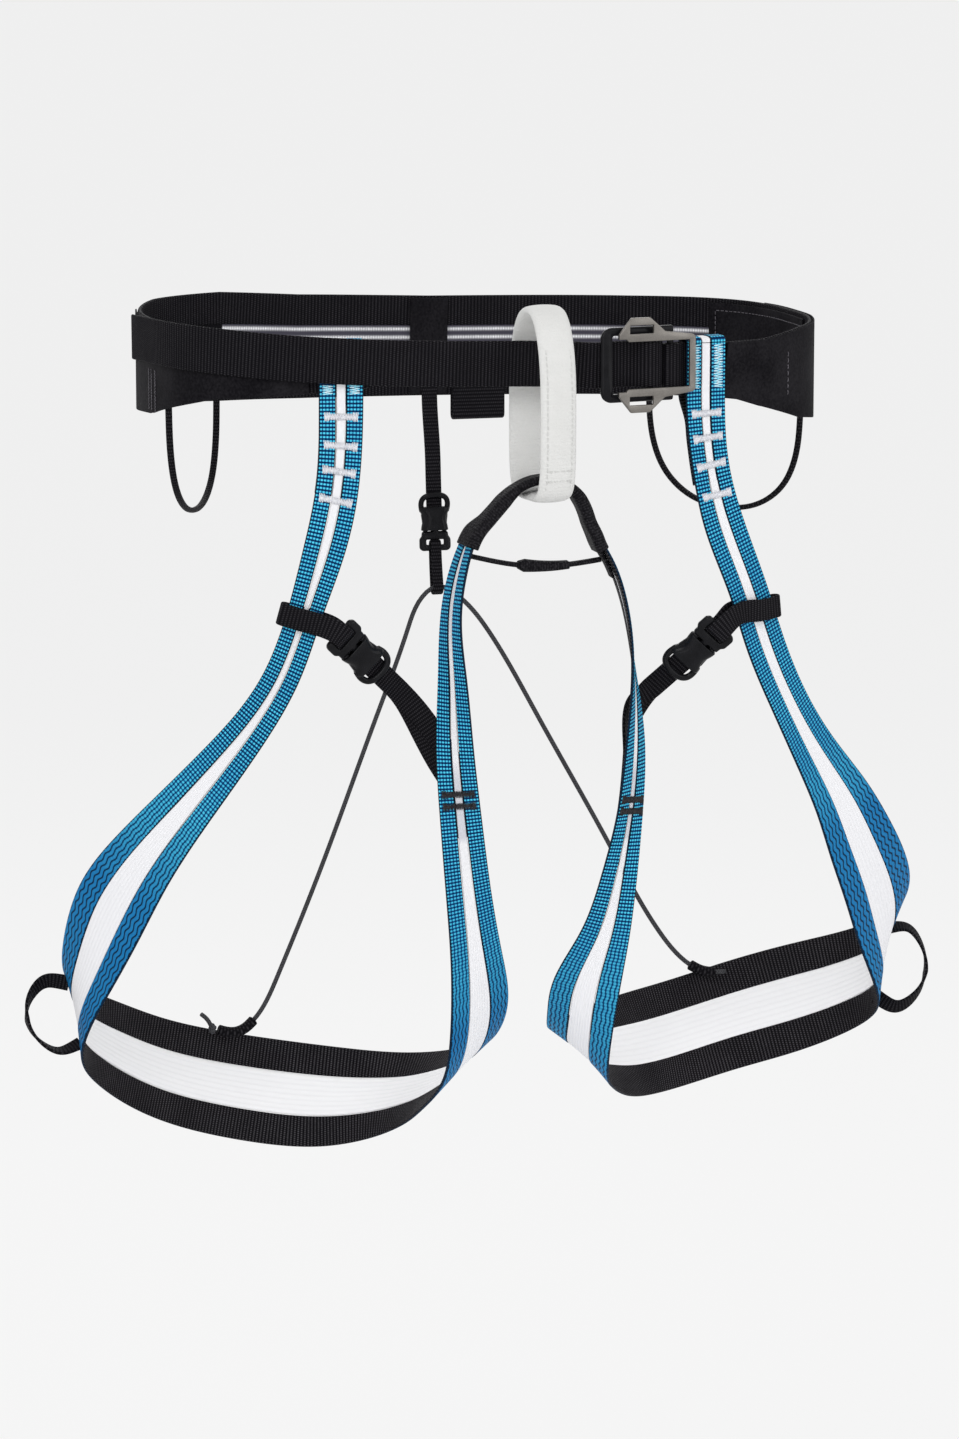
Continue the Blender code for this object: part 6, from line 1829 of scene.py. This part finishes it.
class HARNESS_OT_bridge(bpy.types.Operator):
    """Bridge webbing between the legs, its sheath and the elastic keeper"""

    bl_idname = "harness.bridge"
    bl_label = "Bridge"

    def execute(self, context):
        behind = STRIP_THICKNESS / 2 + GAP + BRIDGE_THICKNESS / 2 + BRIDGE_EASE
        bands = (LEFT_BAND, RIGHT_BAND)
        ends = [[band.seat(-distance, behind) for distance in BRIDGE_TAILS] for band in bands]
        route = np.array(BRIDGE_ROUTE) * MM
        travel = tangents(route)
        facing = unit(np.stack([-travel[:, 2], np.zeros(len(route)), travel[:, 0]], axis=1))
        knots = ends[0] + list(zip(route, facing)) + ends[1][::-1]
        weighted = [np.concatenate([point, turn * TURN_WEIGHT]) for point, turn in knots]
        read = smooth(np.array(weighted), BRIDGE_POINTS)
        line = read[:, :3]
        across = unit(np.cross(read[:, 3:], tangents(line)))
        piece = strap("bridge_weave", line, across, BRIDGE_WIDTH / 2, BRIDGE_THICKNESS, finish("black"),
                      faces=7)
        dress(piece, "bridge_strap")
        run = run_along(line)
        start, end = (run[np.argmin(np.linalg.norm(line - band.middle[-1], axis=1))] for band in bands)
        where = np.linspace(start - SHEATH_LAP, end + SHEATH_LAP, SHEATH_POINTS)
        centre = read_rows(where, run, line)
        side = unit(read_rows(where, run, across))
        inside = np.minimum(where - where[0], where[-1] - where)
        share = np.clip(1 - (inside - SHEATH_LAP - SHEATH_CUFF) / SHEATH_TAPER, 0, 1)[:, None]
        share = share * share * (3 - 2 * share)
        cuff_width = max(float(band.width[-1, 0]) for band in bands) + 2 * SHEATH_CUFF_EASE
        cuff_thickness = behind + (BRIDGE_THICKNESS + STRIP_THICKNESS) / 2 + 2 * SHEATH_CUFF_EASE
        width = BRIDGE_WIDTH + 2 * GAP + share * (cuff_width - BRIDGE_WIDTH - 2 * GAP)
        thickness = BRIDGE_THICKNESS + 2 * GAP + share * (cuff_thickness - BRIDGE_THICKNESS - 2 * GAP)
        past = np.abs(where - (where[0] + where[-1]) / 2) - SHEATH_LOOP_HALF
        full = SHEATH_FULLNESS * np.clip(past / SHEATH_TAPER, 0, 1)[:, None] * (1 - share)
        width = width + full
        thickness = thickness + full
        facing = unit(np.cross(tangents(centre), side))
        centre = centre + facing * share * (behind + (STRIP_THICKNESS - BRIDGE_THICKNESS) / 2) / 2
        piece = sleeve("sheath_cloth", centre, side, width, thickness, SHEATH_WALL, finish("crinkled"))
        dress(piece, "bridge_sheath")
        self.keeper(behind, bands)
        return {"FINISHED"}

    def keeper(self, behind, bands):
        """Elastic between the inner leg straps, with a thicker fold in its middle."""
        seat = behind + BRIDGE_THICKNESS / 2 + KEEPER_EASE
        start, end = (band.seat(-KEEPER_PLACE, seat)[0] for band in bands)
        sags = [start * (1 - share) + end * share - UP * KEEPER_SAG
                for share in (KEEPER_SAG_SHARE, 1 - KEEPER_SAG_SHARE)]
        line = smooth(np.array([start, *sags, end]), KEEPER_POINTS)
        across = -FORWARD
        piece = strap("keeper_weave", line, across, KEEPER_WIDTH / 2, KEEPER_CLOTH, finish("crinkled"),
                      faces=7)
        dress(piece, "bridge_keeper")
        fold = line[KEEPER_FOLD]
        swell = np.interp(np.arange(len(fold)), *np.array(KEEPER_FOLD_SWELL).T)[:, None]
        dress(sleeve("keeper_fold_cloth", fold, across, KEEPER_WIDTH + 2 * GAP,
                     (KEEPER_THICKNESS + 2 * GAP) * swell, KEEPER_FOLD_WALL, finish("crinkled")),
              "bridge_keeper_fold")


class HARNESS_OT_belay_loop(bpy.types.Operator):
    """Belay loop of stiff off-white tape"""

    bl_idname = "harness.belay_loop"
    bl_label = "Belay loop"

    def execute(self, context):
        half_depth = (BELAY_DEPTH - BELAY_THICKNESS) / 2
        half_height = (BELAY_HEIGHT - BELAY_THICKNESS) / 2
        middle = BELAY_TOP - BELAY_THICKNESS / 2 - half_height
        angle = np.linspace(0, FULL_TURN, BELAY_KNOTS, endpoint=False)
        cos, sin = np.cos(angle), np.sin(angle)
        power = np.where(sin > 0, 2 / BELAY_TOP_SQUARENESS, 2 / BELAY_FOOT_SQUARENESS)
        ring = np.stack([half_depth * squared(cos, power), half_height * squared(sin, power)], axis=1)
        even = smooth(np.concatenate([ring, ring[:1]]), BELAY_POINTS + 1)[:-1]
        facing = np.array([math.sin(BELAY_TWIST), -math.cos(BELAY_TWIST), 0.0])
        across = np.array([math.cos(BELAY_TWIST), math.sin(BELAY_TWIST), 0.0])
        line = np.array([BELAY_X, BELAY_Y, middle]) + even[:, :1] * facing + even[:, 1:] * UP
        piece = strap("belay_tape", line, across, BELAY_WIDTH / 2, BELAY_THICKNESS, finish("loop"),
                      closed=True, crown=BELAY_CROWN, faces=15)
        dress(piece, "belay_loop")
        self.seams(line, across, facing)
        return {"FINISHED"}

    def seams(self, line, across, facing):
        """Rows of small stitches along both edges of the front limb, and short ones across its foot."""
        front = line[(line - line.mean(axis=0)) @ facing > BELAY_DEPTH * BELAY_FRONT_SHARE]
        front = front[np.argsort(front[:, 2])]
        place = BELAY_WIDTH / 2 * BELAY_SEAM_SHARE
        lift = BELAY_THICKNESS / 2 * (1 - BELAY_CROWN * BELAY_SEAM_SHARE ** 2)
        radius = bpy.context.scene.harness_sizes.thread_radius
        rows = [stitches(front + across * side * place + facing * lift, facing, BELAY_SEAM_PITCH, radius)
                for side in (-1, 1)]
        for height in BELAY_FOOT_SEAMS:
            foot = front[np.argmin(np.abs(front[:, 2] - front[0, 2] - height))]
            along = across * np.linspace(-place, place, BELAY_SEAM_POINTS)[:, None]
            row = foot + along + facing * BELAY_THICKNESS / 2
            rows.append(stitches(row, facing, BELAY_SEAM_PITCH, radius / 2))
        piece = threads("belay_seams", np.concatenate(rows), facing, radius, finish("loop_thread"))
        beside(piece, "belay_loop")


class HARNESS_OT_gear_loops(bpy.types.Operator):
    """Tape loops that hang from the belt's lower edge"""

    bl_idname = "harness.gear_loops"
    bl_label = "Gear loops"

    def execute(self, context):
        for side, (start, end) in (("left", LEFT_GEAR_LOOP), ("right", RIGHT_GEAR_LOOP)):
            ends = [RING.point(np.array(s), np.array(0.0), float(belt_edge(s, 2)) - GEAR_LOOP_BELOW_EDGE)
                    for s in (start, end)]
            along, drop = np.array(GEAR_LOOP_SHAPE).T[:, :, None]
            line = smooth(ends[0] * (1 - along) + ends[1] * along - UP * GEAR_LOOP_DROP * drop, LIMB_POINTS)
            sideways = unit(np.cross(ends[1] - ends[0], -UP))
            line = np.concatenate([line[:1] + UP * GEAR_LOOP_TUCK, line, line[-1:] + UP * GEAR_LOOP_TUCK])
            piece = strap(f"{side}_gear_tape", line, sideways, GEAR_TAPE_WIDTH / 2, GEAR_LOOP_THICKNESS,
                          finish("black"), faces=7)
            dress(piece, f"{side}_gear_loop")
        return {"FINISHED"}


class HARNESS_OT_rear_straps(bpy.types.Operator):
    """Rear strap above its buckle and the small loop below it"""

    bl_idname = "harness.rear_straps"
    bl_label = "Rear straps"

    def execute(self, context):
        thickness = LEG_STRAP_THICKNESS * REAR_CLIP_SCALE
        seat = WAIST_HALF_DEPTH - BELT_FACE - GAP - PATCH_THICKNESS - GAP - LEG_STRAP_THICKNESS / 2
        straight = rear_strap_bend()
        frame = rear_frame()
        below = np.array([0.0, seat, float(belt_edge(HALF_RING, 2)) - REAR_STRAP_BELOW_BELT])
        run = np.linspace(CLIP_END + CLIP_TRAVEL, CLIP_CAVITY_END + STRAP_END_CLEAR, REAR_STRAIGHT_POINTS)
        knots = [np.array([0.0, seat, REAR_STRAP_TOP]), below, straight] + [frame.at(a) for a in run]
        side = np.array([1.0, 0.0, 0.0])
        line = smooth(np.array(knots), REAR_STRAP_POINTS)
        piece = strap("rear_weave", line, side, REAR_STRAP_WIDTH / 2, thickness, finish("black"), faces=7)
        dress(piece, "rear_strap_upper")
        cord = np.array(REAR_CORD_PLACE) * MM
        knots = [*(frame.at(a) for a in REAR_ROUND_BAR), cord - UP * REAR_LOOP_EASE / 2]
        line = smooth(np.array(knots), REAR_LOOP_POINTS)
        out = unit(np.cross(np.broadcast_to(side, line.shape), tangents(line)))
        gap = np.linspace(PLUG_BAR_THICKNESS / 2 + GAP, CORD_DIAMETER / 2 + REAR_LOOP_EASE, REAR_LOOP_POINTS)
        dress(closed_loop("rear_loop", line, out, gap, REAR_LOOP_WIDTH, thickness), "rear_strap_lower")
        return {"FINISHED"}


class HARNESS_OT_clips(bpy.types.Operator):
    """Side-release buckles of the legs and of the rear strap"""

    bl_idname = "harness.clips"
    bl_label = "Side-release buckles"

    def execute(self, context):
        for prefix, frame in (("left_leg_clip_", ClipFrame(*np.array(LEFT_CLIP) * MM)),
                              ("right_leg_clip_", ClipFrame(*np.array(RIGHT_CLIP) * MM)),
                              ("rear_clip_", rear_frame())):
            for part in ("plug", "arm_a", "arm_b"):
                node = prefix + part
                dress(moulded_copy(node, frame, finish("plastic")), node)
            self.catch(prefix + "body", frame)
        return {"FINISHED"}

    def catch(self, node, frame):
        """Catch body: a barrel with a waist at the arms, open at both ends, and a round end at the strap."""
        along, half, height = smooth(np.array(CLIP_BARREL), BARREL_POINTS).T[:, :, None]
        piece = sleeve(node + "_barrel", frame.origin + frame.along * along * frame.scale, frame.across,
                       (half - BARREL_WALL) * 2 * frame.scale, (height - 2 * BARREL_WALL) * frame.scale,
                       BARREL_WALL * frame.scale, finish("plastic"))
        dress(piece, node)
        half_ring = np.array(CLIP_RING)
        ring = smooth(np.concatenate([half_ring, (half_ring * (1, -1, 1))[-2::-1]]), CLIP_RING_POINTS)
        line = frame.origin + ring @ np.stack([frame.along, frame.across, frame.out]) * frame.scale
        piece = tube(node + "_ring", line, CLIP_RING_RADIUS * frame.scale, finish("plastic"), CLIP_RING_SIDES,
                     helper=frame.out)
        beside(piece, node)


class HARNESS_OT_sewing(bpy.types.Operator):
    """Bartacks and seams in thread"""

    bl_idname = "harness.sewing"
    bl_label = "Sewing"

    def execute(self, context):
        self.radius = context.scene.harness_sizes.thread_radius
        white, black = finish("white_thread"), finish("black_thread_and_highlight")
        for side, band, places, ends in (("left", LEFT_BAND, LEFT_BARTACKS, LEFT_STRAP_TACKS),
                                         ("right", RIGHT_BAND, RIGHT_BARTACKS, RIGHT_STRAP_TACKS)):
            node = f"{side}_leg_upper_strip"
            self.bartacks(f"{side}_riser_bartacks", band, places, white, node)
            self.bartacks(f"{side}_strap_tacks", band, ends, black, node)
        strip = RISER_WIDTH / 2 - (STRIP_BASE_WIDTH + STRIP_SHARE * RISER_WIDTH) / 2
        for name, band, place, length in (("left_riser_tacks", LEFT_BAND, LEFT_TACK, TACK_LENGTH),
                                          ("right_riser_tacks", RIGHT_BAND, RIGHT_TACK, RIGHT_TACK_LENGTH)):
            along, swing = zigzag(length, TACK_WIDTH, TACK_PITCH)
            lines = [band.face(place + along, side * strip + swing, STRIP_THICKNESS / 2 + self.radius / 2)
                     for side in (-1, 1)]
            piece = threads(name, np.concatenate(lines), band.seat(place, 0.0)[1], self.radius,
                            finish("pale_thread"))
            beside(piece, "left_leg_upper_strip")
        self.belt_seams()
        return {"FINISHED"}

    def bartacks(self, name, band, places, material, node):
        """Dense zigzags across the webbing; their ends swing wider than their middle."""
        across, swing = zigzag(BARTACK_WIDTH, BARTACK_HEIGHT, BARTACK_PITCH)
        swing = swing * np.where(np.abs(across) > BARTACK_WIDTH * BARTACK_END, BARTACK_END_SWING, 1.0)
        lines = [band.face(place + swing, across, STRIP_THICKNESS / 2 + self.radius / 2) for place in places]
        piece = threads(name, np.concatenate(lines), band.seat(places[0], 0.0)[1], self.radius, material)
        beside(piece, node)

    def belt_seams(self):
        """Zigzags on the left cover, single stitches on the right one and round the label patch."""
        grey = finish("grey_thread")
        out = BELT_FACE + GAP + COVER_THICKNESS
        rows = []
        for place in LEFT_COVER_SEAMS:
            rise, swing = zigzag(LEFT_SEAM_HEIGHT, SEAM_SWING, SEAM_PITCH)
            depth = np.full(rise.shape, out + self.radius / 2)
            rows.append(RING.point(place + swing, depth, LEFT_SEAM_MIDDLE + rise))
        facing = RING.outward(np.array(LEFT_COVER_SEAMS[0]))
        piece = threads("cover_left_seams", np.concatenate(rows), facing, self.radius, grey)
        beside(piece, "belt_cover_left")
        rise = np.linspace(*RIGHT_SEAM, SEAM_POINTS)
        line = RING.point(np.full(SEAM_POINTS, RIGHT_COVER_SEAM), np.full(SEAM_POINTS, out), rise)
        facing = RING.outward(np.array(RIGHT_COVER_SEAM))
        dashes = stitches(line, facing, SEAM_PITCH * 2, self.radius)
        piece = threads("cover_right_seam", dashes, facing, self.radius, grey)
        beside(piece, "belt_cover_right")

        inside = -BELT_FACE - GAP - PATCH_THICKNESS
        where = np.linspace(LABEL_PATCH[0] + LABEL_SEAM_INSET, LABEL_PATCH[1] - LABEL_SEAM_INSET,
                            LABEL_SEAM_POINTS)
        top = belt_edge(where, 1) - LABEL_PATCH_INSET - LABEL_SEAM_INSET
        low = top[-1] - np.linspace(0, LABEL_SEAM_DROP, LABEL_DROP_POINTS)[1:]
        where = np.concatenate([where, np.full(len(low), where[-1])])
        line = RING.point(where, np.full(len(where), inside), np.concatenate([top, low]))
        facing = -RING.outward(where)
        dashes = stitches(line, facing, LABEL_SEAM_PITCH, self.radius)
        piece = threads("label_patch_seam", dashes, UP + FORWARD / 2, self.radius, grey)
        beside(piece, "label_patch")


class HARNESS_PT_panel(bpy.types.Panel):
    """Lists the pieces and their settings"""

    bl_idname = "HARNESS_PT_panel"
    bl_label = "Climbing harness"
    bl_space_type = "VIEW_3D"
    bl_region_type = "UI"
    bl_category = "Harness"

    def draw(self, context):
        layout = self.layout
        for operator in OPERATORS:
            layout.operator(operator.bl_idname)
        for name, group in GROUPS:
            box = layout.box()
            for key in group.__annotations__:
                box.prop(getattr(context.scene, name), key)


OPERATORS = (HARNESS_OT_stage, HARNESS_OT_cord, HARNESS_OT_belt, HARNESS_OT_legs, HARNESS_OT_leg_straps,
             HARNESS_OT_waist_buckle, HARNESS_OT_bridge, HARNESS_OT_belay_loop, HARNESS_OT_gear_loops,
             HARNESS_OT_rear_straps, HARNESS_OT_clips, HARNESS_OT_sewing)
CLASSES = (HarnessSizes, HarnessColours, HarnessStage) + OPERATORS + (HARNESS_PT_panel,)
GROUPS = (("harness_sizes", HarnessSizes), ("harness_colours", HarnessColours),
          ("harness_stage", HarnessStage))


def register():
    """Add the classes and the scene's settings."""
    for cls in CLASSES:
        bpy.utils.register_class(cls)
    for name, group in GROUPS:
        setattr(bpy.types.Scene, name, bpy.props.PointerProperty(type=group))


def unregister():
    """Remove the scene's settings and the classes."""
    for name, _ in GROUPS:
        delattr(bpy.types.Scene, name)
    for cls in reversed(CLASSES):
        bpy.utils.unregister_class(cls)


def main():
    """Build every piece in order."""
    register()
    for operator in OPERATORS:
        getattr(bpy.ops.harness, operator.bl_idname.split(".")[1])()


if __name__ == "__main__":
    main()
